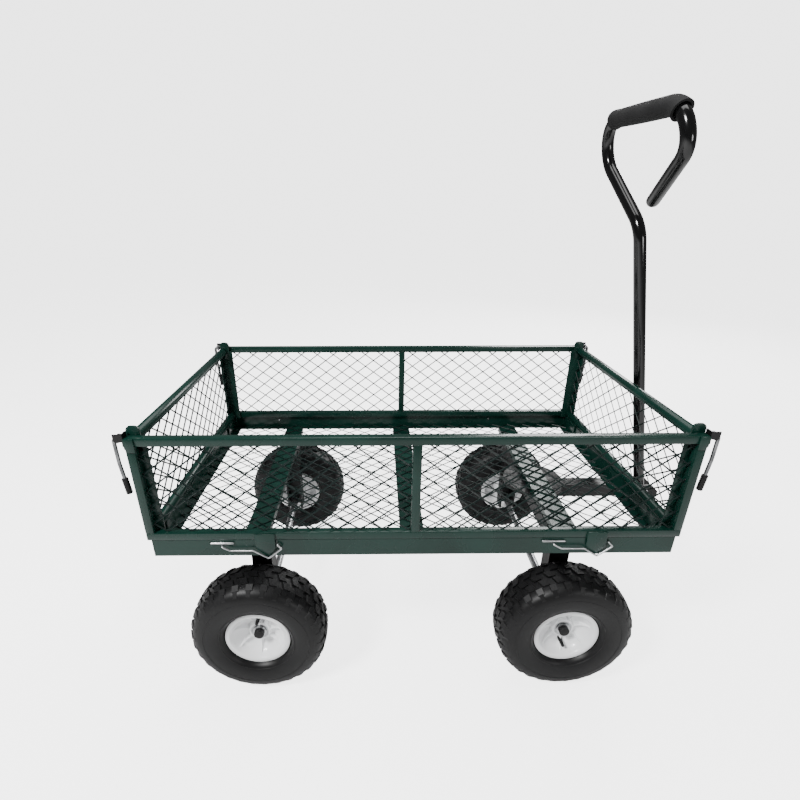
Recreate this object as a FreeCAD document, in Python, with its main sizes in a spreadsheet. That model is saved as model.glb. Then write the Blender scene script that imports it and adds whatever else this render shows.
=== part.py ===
"""Steel garden cart with lift-off mesh sides, a steered front axle and a D-handle.

Frame of the model: +X towards the handle, +Y to the cart's left, +Z up, millimetres.
Everything is laid out about the middle of the bed, with the tyres standing on Z = 0, and is
moved at the end so that the origin lies under the middle of the whole cart's box.
"""
import FreeCAD, Part
import math
import os
import Sketcher

Vector = FreeCAD.Vector
Rotation = FreeCAD.Rotation

doc = FreeCAD.newDocument("garden_cart")

# ---------------------------------------------------------------- driving dimensions
SIZES = {
    # bed
    "bed_length": (900, "outside length of the angle-iron bed frame"),
    "bed_width": (526, "outside width of the bed frame"),
    "deck_bottom": (307, "height of the bed frame's underside above the ground"),
    "frame_height": (33, "upright leg of the bed angle"),
    "frame_flange": (17, "flat leg of the bed angle"),
    "frame_wall": (3, "thickness of the bed angle"),
    "cross_width": (44, "width of a floor cross member"),
    "cross_depth": (12, "depth of a floor cross member"),
    "cross_wall": (3, "thickness of a floor cross member"),
    # expanded metal
    "sheet": (2, "thickness of the expanded metal"),
    "strand": (2, "width of one strand"),
    "diamond_long": (41, "long way of one diamond"),
    "diamond_short": (31.5, "short way of one diamond"),
    # sides and gates
    "side_overhang": (7, "how far a side panel runs past each end of the bed frame"),
    "side_height": (194, "height of a side panel"),
    "side_tube": (14.5, "square tube of the side panels"),
    "side_wall": (1.5, "wall of the square tube"),
    "side_proud": (1, "how far a side panel stands outside the bed frame"),
    "gate_tube": (19, "round tube of the gates, across"),
    "gate_wall": (1.5, "wall of the round tube"),
    "gate_offset": (2, "distance of a gate's tube axis beyond the end of the bed frame"),
    "gate_tab_inset": (49, "distance of a gate's tab from the side of the bed frame"),
    "gate_angle": (27, "deep leg of a gate's corner angle"),
    "gate_angle_face": (22, "face leg of a gate's corner angle"),
    "gate_angle_wall": (3, "thickness of a gate's corner angle"),
    "ear_height": (14, "rise of a gate's ear above the rail"),
    "ear_width": (22, "width of a gate's ear"),
    "ear_reach": (7, "how far a gate's ear reaches out past the gate's tube axis"),
    "panel_gap": (2, "gap between a gate and a side panel"),
    "seat_gap": (0.5, "gap between parts that rest on each other and lift apart"),
    "face_gap": (0.4, "gap between faces that slide past each other"),
    # tabs and spring clips
    "rear_tab_reach": (252, "distance of a side panel's rear tab tip from the bed's middle"),
    "front_tab_reach": (317, "distance of a side panel's front tab tip from the bed's middle"),
    "tab_width": (34, "width of a tab"),
    "tab_sheet": (3, "thickness of a tab"),
    "tab_drop": (32, "how far a tab hangs over the bed frame"),
    "tab_rise": (13, "how far a tab reaches up the side panel"),
    "clip_wire": (3.2, "diameter of the spring clip's wire"),
    "clip_reach": (78, "distance from a clip's pivot to the tab tip that it holds"),
    "clip_bar": (40, "length of the bar over a clip's pivot"),
    "clip_pivot_drop": (10, "depth of a clip's pivot below the top of the bed frame"),
    # corner latches
    "latch_offset": (9, "distance of the latch pivot from the end of the side panel"),
    "latch_pin": (4, "diameter of the latch pivot pin"),
    "latch_rod": (6, "diameter of the latch lever's rod"),
    "latch_reach": (9, "distance of the hanging rod from the latch pivot"),
    "latch_drop": (100, "length of the hanging latch lever below its pivot"),
    "latch_grip": (10, "diameter of the latch lever's rubber grip"),
    "latch_grip_length": (29, "length of the latch lever's rubber grip"),
    "latch_sheet": (2, "thickness of the latch bracket"),
    # wheels
    "wheelbase": (575, "distance between the axles"),
    "track": (497, "distance between the wheels' middle planes"),
    "tyre_across": (254, "outside diameter of a tyre"),
    "tyre_width": (90, "width of a tyre"),
    "tyre_shoulder": (14, "rounding of the tyre's shoulders"),
    "tyre_wall": (7, "thickness of the tyre's carcass"),
    "rim_radius": (60, "radius of the rim's outer flange"),
    "rim_half": (33, "half the distance over the rim's flanges"),
    "rim_lip": (6, "radial height of the rim's flange above the bead seat"),
    "rim_wall": (3, "thickness of the pressed rim"),
    "rim_face": (9, "width of the flat ring at the rim's edge"),
    "rim_ribs": (7, "number of ribs in a rim"),
    "hub_radius": (20, "outside radius of the hub"),
    "hub_outer": (14, "distance from the wheel's middle plane to the hub's outer end"),
    "hub_inner": (34, "distance from the wheel's middle plane to the hub's inner end"),
    "bearing_radius": (17, "outside radius of a wheel bearing"),
    "bearing_width": (12, "width of a wheel bearing"),
    "valve_radius": (31, "distance of the valve stem from the wheel's axis"),
    "valve_across": (8, "diameter of the valve stem"),
    # axles and brackets
    "axle": (16, "diameter of the axles"),
    "axle_over": (9, "how far an axle stands out of the wheel's hub"),
    "running_fit": (0.05, "radial clearance of a turning fit"),
    "leg_width": (38, "width of an axle leg"),
    "leg_depth": (34, "depth of an axle leg along the axle"),
    "leg_wall": (4, "thickness of an axle leg"),
    "axle_spacer": (20.5, "distance between a leg's outer face and the wheel's hub"),
    "leg_foot": (20, "how far a leg reaches below the axle"),
    "bracket_plate": (4, "thickness of the plate under a cross member"),
    "frame_bolt": (8, "diameter of the bolts under the cross members"),
    "rear_bolt_inset": (30, "distance of the rear bracket's bolts inside its legs"),
    "table_bolt_spread": (78, "distance of the turntable's bolts from the middle"),
    "turntable": (130, "diameter of the turntable plates"),
    "turntable_sheet": (4, "thickness of a turntable plate"),
    "kingpin": (14, "diameter of the kingpin"),
    # tongue and handle
    "tongue_tube": (30, "square tube of the tongue"),
    "tongue_wall": (2.5, "wall of the tongue's tube"),
    "pivot_ahead": (83, "distance of the handle pivot beyond the end of the bed frame"),
    "fork_reach": (33, "reach of the fork beyond the handle pivot"),
    "fork_sheet": (5, "thickness of a fork cheek"),
    "handle_tube": (22, "diameter of the handle's tube"),
    "handle_wall": (2, "wall of the handle's tube"),
    "handle_lean": (12, "lean of the parked handle towards the cart, in degrees"),
    "handle_pivot": (10, "diameter of the handle's pivot bolt"),
    "handle_stem": (566, "length of the straight stem from the pivot to the bend"),
    "loop_height": (186, "height of the D-loop above the bend"),
    "loop_left": (126, "reach of the D-loop's closed side to the left, to the tube's axis"),
    "loop_right": (136, "reach of the D-loop's open side to the right, to the tube's axis"),
    "loop_slope": (12, "how much lower the D-loop's top is at its open side"),
    "loop_tip": (44, "distance of the loop's free end from the stem's axis"),
    "grip_wrap_left": (12, "angle of the left bend that the hand grip covers, in degrees"),
    "grip_wrap_right": (36, "angle of the right bend that the hand grip covers, in degrees"),
    "grip_across": (33, "diameter of the hand grip"),
}

sheet = doc.addObject("Spreadsheet::Sheet", "dims")


class Size:
    """A length that knows its value and how it is worked out from the sheet's cells."""

    def __init__(self, text, value):
        self.text = text
        self.value = value

    def joined(self, other, sign, value):
        return Size("(%s %s %s)" % (self.text, sign, sized(other).text), value)

    def __add__(self, other):
        return self.joined(other, "+", self.value + sized(other).value)

    def __sub__(self, other):
        return self.joined(other, "-", self.value - sized(other).value)

    def __mul__(self, other):
        return self.joined(other, "*", self.value * sized(other).value)

    def __truediv__(self, other):
        return self.joined(other, "/", self.value / sized(other).value)

    def __radd__(self, other):
        return sized(other) + self

    def __rsub__(self, other):
        return sized(other) - self

    def __rmul__(self, other):
        return sized(other) * self

    def __neg__(self):
        return Size("(0 - %s)" % self.text, -self.value)


def sized(number):
    """A plain number as a Size; a Size as it is."""
    if isinstance(number, Size):
        return number
    return Size("%.6g" % number, float(number))


class Dimensions:
    """The driving dimensions by name, each tied to its cell."""


d = Dimensions()
for row, (alias, (number, note)) in enumerate(SIZES.items(), start=1):
    sheet.set("A%d" % row, note)
    sheet.set("B%d" % row, str(number))
    sheet.setAlias("B%d" % row, alias)
    setattr(d, alias, Size("dims.%s" % alias, float(number)))
doc.recompute()

# ---------------------------------------------------------------- levels and planes
DECK_TOP = d.deck_bottom + d.frame_height
FLOOR = d.deck_bottom + d.frame_wall
CROSS_BOTTOM = FLOOR - d.cross_depth
PLATE_BOTTOM = CROSS_BOTTOM - d.bracket_plate
AXLE_HEIGHT = d.tyre_across / 2
AXLE_REACH = d.wheelbase / 2
SIDE_FACE = d.bed_width / 2 + d.side_proud
SIDE_INNER = SIDE_FACE - d.side_tube
SIDE_END = d.bed_length / 2 + d.side_overhang
GATE_REACH = d.bed_length / 2 + d.gate_offset
PANEL_BOTTOM = DECK_TOP + d.seat_gap
PANEL_TOP = PANEL_BOTTOM + d.side_height
GATE_HALF = SIDE_INNER - d.panel_gap
GATE_AXIS_HEIGHT = PANEL_TOP - d.gate_tube / 2
LATCH_X = SIDE_END + d.latch_offset
LATCH_Y = SIDE_FACE - d.side_tube / 2
LATCH_Z = PANEL_TOP - 1
LEG_FACE = d.track / 2 - d.hub_inner - d.axle_spacer
REAR_BOLT_Y = LEG_FACE - d.leg_depth - d.rear_bolt_inset
TABLE_BOTTOM = CROSS_BOTTOM - d.turntable_sheet
LOWER_PLATE_TOP = TABLE_BOTTOM - d.seat_gap
BEAM_TOP = LOWER_PLATE_TOP - d.turntable_sheet
TONGUE_MIDDLE = BEAM_TOP - d.tongue_tube / 2
PIVOT_REACH = d.bed_length / 2 + d.pivot_ahead
CLIP_Z = DECK_TOP - d.clip_pivot_drop
CLIP_Y = SIDE_FACE + d.tab_sheet + d.face_gap + d.clip_wire / 2

BOLT_RADIUS = d.frame_bolt / 2
parts = {}


def tab_tip_x(end):
    """Where the point of a side panel's tab is, at the rear (-1) or front (+1) end."""
    return d.front_tab_reach if end > 0 else -d.rear_tab_reach


def clip_pivot_x(end):
    return tab_tip_x(end) - d.clip_reach


# ---------------------------------------------------------------- building blocks
def bind(thing, **sizes):
    """Ties properties of an object to the sheet."""
    for name, size in sizes.items():
        thing.setExpression(name.replace("__", "."), sized(size).text)
    return thing


def put(thing, x, y, z):
    """Ties an object's position to the sheet."""
    return bind(thing, Placement__Base__x=x, Placement__Base__y=y, Placement__Base__z=z)


def box(x, y, z):
    """A block between three pairs of limits, in any order."""
    (x0, x1), (y0, y1), (z0, z1) = [sorted(map(sized, pair), key=lambda s: s.value) for pair in (x, y, z)]
    block = doc.addObject("Part::Box", "block")
    bind(block, Length=x1 - x0, Width=y1 - y0, Height=z1 - z0)
    return put(block, x0, y0, z0)


AXIS_TURN = {
    "X": Rotation(Vector(0, 1, 0), 90),
    "Y": Rotation(Vector(1, 0, 0), -90),
    "Z": Rotation(),
}


def rod(axis, start, length, radius):
    """A cylinder from a start point along +X, +Y or +Z; a negative length runs the other way."""
    x, y, z = map(sized, start)
    length = sized(length)
    if length.value < 0:
        x, y, z = [(c + length) if name == axis else c for c, name in zip((x, y, z), "XYZ")]
        length = -length
    cylinder = doc.addObject("Part::Cylinder", "rod")
    cylinder.Placement = FreeCAD.Placement(Vector(), AXIS_TURN[axis])
    bind(cylinder, Radius=radius, Height=length)
    return put(cylinder, x, y, z)


def fuse(*shapes):
    """One solid from pieces that touch or overlap."""
    union = doc.addObject("Part::MultiFuse", "union")
    union.Shapes = list(shapes)
    return union


def group(*shapes):
    """Separate solids kept in one sub-part."""
    compound = doc.addObject("Part::Compound", "group")
    compound.Links = list(shapes)
    return compound


def cut(base, *tools):
    """A shape with others taken out of it."""
    result = doc.addObject("Part::Cut", "trimmed")
    result.Base = base
    result.Tool = tools[0] if len(tools) == 1 else fuse(*tools)
    return result


def polygon(sketch, corners):
    """A closed outline whose every corner is held to the sheet."""
    count = len(corners)
    points = [Vector(sized(u).value, sized(v).value, 0) for u, v in corners]
    for index, point in enumerate(points):
        sketch.addGeometry(Part.LineSegment(point, points[(index + 1) % count]), False)
    for index in range(count):
        sketch.addConstraint(Sketcher.Constraint("Coincident", index, 2, (index + 1) % count, 1))
    for index, (u, v) in enumerate(corners):
        for kind, size in (("DistanceX", sized(u)), ("DistanceY", sized(v))):
            held = sketch.addConstraint(Sketcher.Constraint(kind, -1, 1, index, 1, size.value))
            sketch.setExpression("Constraints[%d]" % held, size.text)
    return sketch


def plate_xz(corners, y_limits):
    """A plate with an outline in X and Z, between two Y planes."""
    y0, y1 = sorted(map(sized, y_limits), key=lambda s: s.value)
    sketch = doc.addObject("Sketcher::SketchObject", "outline")
    sketch.Placement = FreeCAD.Placement(Vector(), Rotation(Vector(1, 0, 0), 90))
    sketch.setExpression("Placement.Base.y", y0.text)
    polygon(sketch, corners)
    plate = doc.addObject("Part::Extrusion", "plate")
    plate.Base = sketch
    plate.DirMode = "Custom"
    plate.Dir = Vector(0, 1, 0)
    plate.Solid = True
    return bind(plate, LengthFwd=y1 - y0)


def square_tube(x, y, z, wall, along):
    """A square tube between three pairs of limits, open along one axis."""
    inner = []
    for name, pair in zip("XYZ", (x, y, z)):
        low, high = sorted(map(sized, pair), key=lambda s: s.value)
        inner.append((low - 1, high + 1) if name == along else (low + wall, high - wall))
    return cut(box(x, y, z), box(*inner))


def ring(axis, start, length, radius, bore):
    """A washer, bush or round tube."""
    hole = rod(axis, start, length, bore)
    return cut(rod(axis, start, length, radius), hole)


def bend(before, corner, after, radius):
    """The first, middle and last point of the arc that rounds a corner, and the arc's centre."""
    to_start = (before - corner).normalize()
    to_end = (after - corner).normalize()
    half = to_start.getAngle(to_end) / 2
    reach = radius / math.tan(half)
    middle_way = (to_start + to_end).normalize()
    centre = corner + middle_way * (radius / math.sin(half))
    return corner + to_start * reach, centre - middle_way * radius, corner + to_end * reach, centre


def bent_rod(points, radii, diameter):
    """A round rod along straight runs joined by arcs, built from its centre line."""
    points = [Vector(*[sized(c).value for c in point]) for point in points]
    edges = []
    start = points[0]
    for before, corner, after, radius in zip(points, points[1:], points[2:], radii):
        first, middle, last, centre = bend(before, corner, after, radius)
        edges.append(Part.LineSegment(start, first).toShape())
        edges.append(Part.Arc(first, middle, last).toShape())
        start = last
    edges.append(Part.LineSegment(start, points[-1]).toShape())
    path = Part.Wire(edges)
    profile = Part.Wire(Part.makeCircle(sized(diameter).value / 2, points[0], points[1] - points[0]))
    return path.makePipeShell([profile], True, True)


def shaped(shape, name="formed"):
    """A feature holding a shape made by Part's own functions."""
    feature = doc.addObject("Part::Feature", name)
    feature.Shape = shape
    return feature


def finish(label, thing):
    """Names a finished sub-part."""
    thing.Label = label
    parts[label] = thing
    return thing


# ---------------------------------------------------------------- expanded metal
def clipped(outline, limits):
    """An outline cut back to a rectangle, corner by corner."""
    for axis, bound, side in ((0, limits[0], 1), (0, limits[1], -1), (1, limits[2], 1), (1, limits[3], -1)):
        kept = []
        for here, there in zip(outline, outline[1:] + outline[:1]):
            inside_here = (here[axis] - bound) * side >= 0
            inside_there = (there[axis] - bound) * side >= 0
            if inside_here:
                kept.append(here)
            if inside_here != inside_there:
                share = (bound - here[axis]) / (there[axis] - here[axis])
                kept.append(tuple(a + (b - a) * share for a, b in zip(here, there)))
        outline = kept
    return outline


def area_of(outline):
    total = 0
    for (x0, y0), (x1, y1) in zip(outline, outline[1:] + outline[:1]):
        total += x0 * y1 - x1 * y0
    return abs(total) / 2


def expanded_metal(width, height):
    """A flat sheet from (0, 0) to (width, height) in XY, pierced by rows of diamonds."""
    corners = [Vector(), Vector(width, 0), Vector(width, height), Vector(0, height), Vector()]
    strand = d.strand.value
    pitch_u, pitch_v = d.diamond_long.value, d.diamond_short.value
    slant = math.hypot(pitch_u, pitch_v)
    half_u = pitch_u / 2 - strand * slant / pitch_v / 2
    half_v = pitch_v / 2 - strand * slant / pitch_u / 2
    smallest = 0.02 * pitch_u * pitch_v
    rim = (strand, width - strand, strand, height - strand)
    wires = [Part.makePolygon(corners)]
    for row in range(int(2 * height / pitch_v) + 2):
        centre_v = row * pitch_v / 2
        for column in range(int(width / pitch_u) + 2):
            centre_u = (column + (row % 2) / 2) * pitch_u
            diamond = [(centre_u - half_u, centre_v), (centre_u, centre_v - half_v),
                       (centre_u + half_u, centre_v), (centre_u, centre_v + half_v)]
            hole = clipped(diamond, rim)
            if len(hole) > 2 and area_of(hole) > smallest:
                corners = [Vector(u, v) for u, v in hole]
                wires.append(Part.makePolygon(corners + corners[:1]))
    return Part.Face(wires, "Part::FaceMakerBullseye").extrude(Vector(0, 0, d.sheet.value))


def sheet_at(shape, turn, x, y, z):
    """A piece of expanded metal turned and moved into its frame."""
    piece = shape.copy()
    piece.Placement = FreeCAD.Placement(Vector(sized(x).value, sized(y).value, sized(z).value), turn)
    return piece


FACING_Y = Rotation(Vector(1, 0, 0), 90)
FACING_X = Rotation(Vector(0, 0, 1), 90) * Rotation(Vector(1, 0, 0), 90)


# ---------------------------------------------------------------- bed
def bed_frame():
    half_x = d.bed_length / 2
    half_y = d.bed_width / 2
    tray = box((-half_x, half_x), (-half_y, half_y), (d.deck_bottom, DECK_TOP))
    inner_x, inner_y = half_x - d.frame_wall, half_y - d.frame_wall
    inside = box((-inner_x, inner_x), (-inner_y, inner_y), (FLOOR, DECK_TOP + 1))
    window = box((d.frame_flange - half_x, half_x - d.frame_flange),
                 (d.frame_flange - half_y, half_y - d.frame_flange), (d.deck_bottom - 1, FLOOR + 1))
    holes = []
    for side in (-1, 1):
        for end in (-1, 1):
            holes.append(rod("Y", (clip_pivot_x(end), side * (half_y + 1), CLIP_Z),
                             -side * (d.frame_wall + 2), d.clip_wire / 2 + d.running_fit))
    finish("bed_frame", cut(tray, inside, window, *holes))


def bed_mesh():
    length = d.bed_length - 2 * d.frame_wall
    width = d.bed_width - 2 * d.frame_wall
    shape = expanded_metal(length.value, width.value)
    finish("bed_mesh", shaped(sheet_at(shape, Rotation(), -length / 2, -width / 2, FLOOR)))


def cross_member(label, x):
    half = d.bed_width / 2 - d.frame_flange
    across = (x - d.cross_width / 2, x + d.cross_width / 2)
    hollow = (x - d.cross_width / 2 + d.cross_wall, x + d.cross_width / 2 - d.cross_wall)
    channel = box(across, (-half, half), (CROSS_BOTTOM, FLOOR))
    finish(label, cut(channel, box(hollow, (-half - 1, half + 1), (CROSS_BOTTOM - 1, FLOOR - d.cross_wall))))


# ---------------------------------------------------------------- axle brackets
def axle_leg(x, side, top):
    """One channel-shaped leg: a plate facing the wheel with two flanges turned inwards."""
    face = side * LEG_FACE
    inner = side * (LEG_FACE - d.leg_depth)
    low = AXLE_HEIGHT - d.leg_foot
    half = d.leg_width / 2
    leg = box((x - half, x + half), (face, inner), (low, top))
    depth = (side * (LEG_FACE - d.leg_wall), side * (LEG_FACE - d.leg_depth - 1))
    hollow = box((x - half + d.leg_wall, x + half - d.leg_wall), depth, (low - 1, top - d.leg_wall))
    return cut(leg, hollow)


def axle_hole(x):
    return rod("Y", (x, -LEG_FACE - 1, AXLE_HEIGHT), 2 * LEG_FACE + 2, d.axle / 2)


def rear_axle_bracket():
    x = -AXLE_REACH
    half = d.leg_width / 2
    plate = box((x - half, x + half), (-LEG_FACE, LEG_FACE), (PLATE_BOTTOM, CROSS_BOTTOM))
    legs = [axle_leg(x, side, PLATE_BOTTOM) for side in (-1, 1)]
    finish("rear_axle_bracket", cut(fuse(plate, *legs), axle_hole(x), *bracket_bolt_holes(x)))


def bracket_bolt_holes(x):
    return [rod("Z", (x, y, PLATE_BOTTOM - 1), d.bracket_plate + 2, BOLT_RADIUS)
            for y in (-REAR_BOLT_Y, REAR_BOLT_Y)]


def axle(label, x):
    reach = d.track / 2 + d.hub_outer + d.axle_over
    finish(label, rod("Y", (x, -reach, AXLE_HEIGHT), 2 * reach, d.axle / 2))


def axle_hardware(label, x):
    """Spacer, two washers and a push-on cap at each end of an axle."""
    pieces = []
    hub_start = d.track / 2 - d.hub_inner
    hub_end = d.track / 2 + d.hub_outer
    for side in (-1, 1):
        spacer = hub_start - LEG_FACE - d.seat_gap
        pieces.append(ring("Y", (x, side * LEG_FACE, AXLE_HEIGHT), side * spacer, d.axle / 2 + 3, d.axle / 2))
        pieces.append(ring("Y", (x, side * (hub_end + d.seat_gap), AXLE_HEIGHT), side * 2, 13, d.axle / 2))
        cap_start = hub_end + d.seat_gap + 2
        cap = rod("Y", (x, side * cap_start, AXLE_HEIGHT), side * 8, d.axle / 2 + 1.5)
        axle_end = side * (d.axle_over - d.seat_gap - 2)
        pieces.append(cut(cap, rod("Y", (x, side * cap_start, AXLE_HEIGHT), axle_end, d.axle / 2)))
    finish(label, group(*pieces))


def hexagon(x, y, z, across, height):
    prism = doc.addObject("Part::Prism", "hexagon")
    prism.Polygon = 6
    bind(prism, Circumradius=across, Height=height)
    return put(prism, x, y, z)


def chassis_bolts():
    """Bolts that hold the rear bracket and the upper turntable plate under the cross members."""
    top = FLOOR - d.cross_wall
    pieces = []
    for y in (-REAR_BOLT_Y, REAR_BOLT_Y):
        pieces.append(plain_bolt(-AXLE_REACH, y, top, PLATE_BOTTOM))
    for y in (-d.table_bolt_spread, d.table_bolt_spread):
        pieces.append(plain_bolt(AXLE_REACH, y, top, TABLE_BOTTOM))
    finish("chassis_bolts", group(*pieces))


def plain_bolt(x, y, top, bottom):
    """A bolt with a low head under the lower plate and a nut inside the channel."""
    shank = rod("Z", (x, y, bottom), top - bottom, BOLT_RADIUS)
    head = rod("Z", (x, y, bottom), -3, 1.7 * BOLT_RADIUS)
    nut = hexagon(x, y, CROSS_BOTTOM, 1.7 * BOLT_RADIUS, 5)
    return fuse(shank, head, nut)


# ---------------------------------------------------------------- turntable and steering
def upper_turntable_plate():
    x = AXLE_REACH
    disc = rod("Z", (x, 0, TABLE_BOTTOM), d.turntable_sheet, d.turntable / 2)
    reach = d.table_bolt_spread + 14
    strap = box((x - d.cross_width / 2, x + d.cross_width / 2), (-reach, reach), (TABLE_BOTTOM, CROSS_BOTTOM))
    holes = [rod("Z", (x, y, TABLE_BOTTOM - 1), d.turntable_sheet + 2, BOLT_RADIUS)
             for y in (-d.table_bolt_spread, d.table_bolt_spread)]
    king_hole = rod("Z", (x, 0, TABLE_BOTTOM - 1), d.turntable_sheet + 2, d.kingpin / 2)
    finish("upper_turntable_plate", cut(fuse(disc, strap), king_hole, *holes))


def lower_turntable_plate():
    x = AXLE_REACH
    disc = rod("Z", (x, 0, BEAM_TOP), d.turntable_sheet, d.turntable / 2)
    king_hole = rod("Z", (x, 0, BEAM_TOP - 1), d.turntable_sheet + 2, d.kingpin / 2 + d.running_fit)
    finish("lower_turntable_plate", cut(disc, king_hole))


def kingpin():
    """The bolt that the front axle turns on, with its nut under the steering beam's top."""
    x = AXLE_REACH
    head = rod("Z", (x, 0, CROSS_BOTTOM), d.cross_depth - d.cross_wall - 1, 0.8 * d.kingpin)
    nut_top = BEAM_TOP - d.leg_wall - d.seat_gap
    shank_end = nut_top - 0.9 * d.kingpin
    shank = rod("Z", (x, 0, shank_end), CROSS_BOTTOM - shank_end, d.kingpin / 2)
    finish("kingpin_bolt", fuse(head, shank))
    nut = hexagon(x, 0, nut_top - 0.7 * d.kingpin, 0.85 * d.kingpin, 0.7 * d.kingpin)
    bore = rod("Z", (x, 0, nut_top - d.kingpin), 2 * d.kingpin, d.kingpin / 2)
    finish("kingpin_nut", cut(nut, bore))


def steering_beam():
    """A channel across the cart whose ends turn down into the two front axle legs."""
    x = AXLE_REACH
    half = d.leg_width / 2
    reach = LEG_FACE - d.leg_depth
    bottom = BEAM_TOP - d.tongue_tube
    beam = box((x - half, x + half), (-reach, reach), (bottom, BEAM_TOP))
    hollow = box((x - half + d.leg_wall, x + half - d.leg_wall), (-reach - 1, reach + 1),
                 (bottom - 1, BEAM_TOP - d.leg_wall))
    legs = [axle_leg(x, side, BEAM_TOP) for side in (-1, 1)]
    king_hole = rod("Z", (x, 0, BEAM_TOP - d.leg_wall - 1), d.leg_wall + 2, d.kingpin / 2 + d.running_fit)
    finish("steering_beam", cut(fuse(cut(beam, hollow), *legs), king_hole, axle_hole(x)))


def tongue():
    """The square tube from the steering beam to the handle, with a fork welded to its end."""
    start = AXLE_REACH + d.leg_width / 2
    end = PIVOT_REACH - 17
    half = d.tongue_tube / 2
    low, high = TONGUE_MIDDLE - half, TONGUE_MIDDLE + half
    tube = square_tube((start, end), (-half, half), (low, high), d.tongue_wall, "X")
    tip = PIVOT_REACH + d.fork_reach
    outline = [(end - 40, low), (tip, low), (tip, TONGUE_MIDDLE), (tip - 15, high), (end - 40, high)]
    cheeks = [plate_xz(outline, (side * half, side * (half + d.fork_sheet))) for side in (-1, 1)]
    reach = half + d.fork_sheet + 1
    pin_hole = rod("Y", (PIVOT_REACH, -reach, TONGUE_MIDDLE), 2 * reach, d.handle_pivot / 2)
    finish("tongue", cut(fuse(tube, *cheeks), pin_hole))


def handle_pivot_bolt():
    """The bolt through the fork and its nut, as one group."""
    face = d.tongue_tube / 2 + d.fork_sheet
    x, z, radius = PIVOT_REACH, TONGUE_MIDDLE, d.handle_pivot / 2
    shank = rod("Y", (x, -face, z), 2 * face + 10, radius)
    head = rod("Y", (x, -face, z), -5, 1.7 * radius)
    nut = cut(rod("Y", (x, face, z), 8, 1.7 * radius), rod("Y", (x, face - 1, z), 12, radius))
    finish("handle_pivot_bolt", group(fuse(shank, head), nut))


# ---------------------------------------------------------------- handle
def handle_points():
    """Corners and bend radii of the handle's tube, in the plane of the loop above the pivot."""
    stem = d.handle_stem.value
    top = stem + d.loop_height.value
    left, right, tip = d.loop_left.value, -d.loop_right.value, -d.loop_tip.value
    shoulder_left = stem + 0.61 * d.loop_height.value
    shoulder_right = stem + 0.6 * d.loop_height.value
    tip_height = shoulder_right - 0.73 * (tip - right)
    foot = d.handle_pivot.value / 2 + 4
    corners = [(0, foot), (0, stem), (left, shoulder_left), (left, top), (right, top - d.loop_slope.value),
               (right, shoulder_right), (tip, tip_height)]
    radii = (60, 55, 44, 46, 34)
    return [Vector(0, across, up) for across, up in corners], radii


def leaning(shape):
    """A shape drawn above the pivot, leaned back to the parked position and moved to the pivot."""
    feature = shaped(shape)
    place = Vector(PIVOT_REACH.value, 0, TONGUE_MIDDLE.value)
    feature.Placement = FreeCAD.Placement(place, Rotation(Vector(0, 1, 0), -d.handle_lean.value))
    return feature


def handle():
    points, radii = handle_points()
    radius = d.handle_tube.value / 2
    outer = bent_rod(points, radii, d.handle_tube)
    end = points[-1]
    back = (points[-2] - end).normalize()
    bore = bent_rod(points[:-1] + [end + back * 3], radii, d.handle_tube - 2 * d.handle_wall)
    tip = Part.makeSphere(radius, end)
    across = Vector(0, 1, 0)
    side = d.tongue_tube.value / 2 - d.face_gap.value
    sleeve = Part.makeCylinder(d.handle_pivot.value / 2 + 7, 2 * side, across * -side, across)
    pin_radius = d.handle_pivot.value / 2 + d.running_fit.value
    pin_hole = Part.makeCylinder(pin_radius, 2 * side, across * -side, across)
    tube = outer.fuse(tip).cut(bore).fuse(sleeve).cut(pin_hole)
    finish("handle_tube", leaning(tube.removeSplitter()))

    left_centre = bend(*points[2:5], radii[2])[3]
    right_centre = bend(*points[3:6], radii[3])[3]
    left_angle = math.radians(d.grip_wrap_left.value)
    right_angle = math.radians(d.grip_wrap_right.value)
    left_ray = Vector(0, math.sin(left_angle), math.cos(left_angle)) * d.loop_height.value
    right_ray = Vector(0, -math.sin(right_angle), math.cos(right_angle)) * d.loop_height.value
    window = [left_centre, left_centre + left_ray, right_centre + right_ray, right_centre, left_centre]
    shift = Vector(d.grip_across.value, 0, 0)
    wedge = Part.Face(Part.makePolygon([point - shift for point in window])).extrude(2 * shift)
    cover = bent_rod(points[2:6], radii[2:4], d.grip_across)
    core = bent_rod(points[2:6], radii[2:4], d.handle_tube)
    finish("handle_grip", leaning(cover.cut(core).common(wedge)))


# ---------------------------------------------------------------- wheels
def revolved(name, corners):
    """A PartDesign body turned about its own Z axis from an outline of radius and height."""
    body = doc.addObject("PartDesign::Body", name)
    plane = [feature for feature in body.Origin.OriginFeatures if feature.Role == "XZ_Plane"][0]
    sketch = body.newObject("Sketcher::SketchObject", name + "_section")
    sketch.AttachmentSupport = [(plane, "")]
    sketch.MapMode = "FlatFace"
    polygon(sketch, corners)
    turned = body.newObject("PartDesign::Revolution", name + "_turned")
    turned.Profile = sketch
    turned.ReferenceAxis = (sketch, ["V_Axis"])
    turned.Angle = 360
    sketch.Visibility = False
    return body


def circles_at(shape, radius, heights):
    """The names of a turned shape's round edges of one radius at given heights."""
    names = []
    for index, edge in enumerate(shape.Edges, start=1):
        if hasattr(edge.Curve, "Radius") and abs(edge.Curve.Radius - radius) < 0.01:
            if any(abs(edge.Curve.Center.z - height) < 0.01 for height in heights):
                names.append("Edge%d" % index)
    return names


def wheel_place(body, x, side):
    """Stands a turned body on the axle with its own +Z facing away from the cart."""
    body.Placement = FreeCAD.Placement(Vector(), Rotation(Vector(1, 0, 0), -90 * side))
    return put(body, x, side * d.track / 2, AXLE_HEIGHT)


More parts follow.
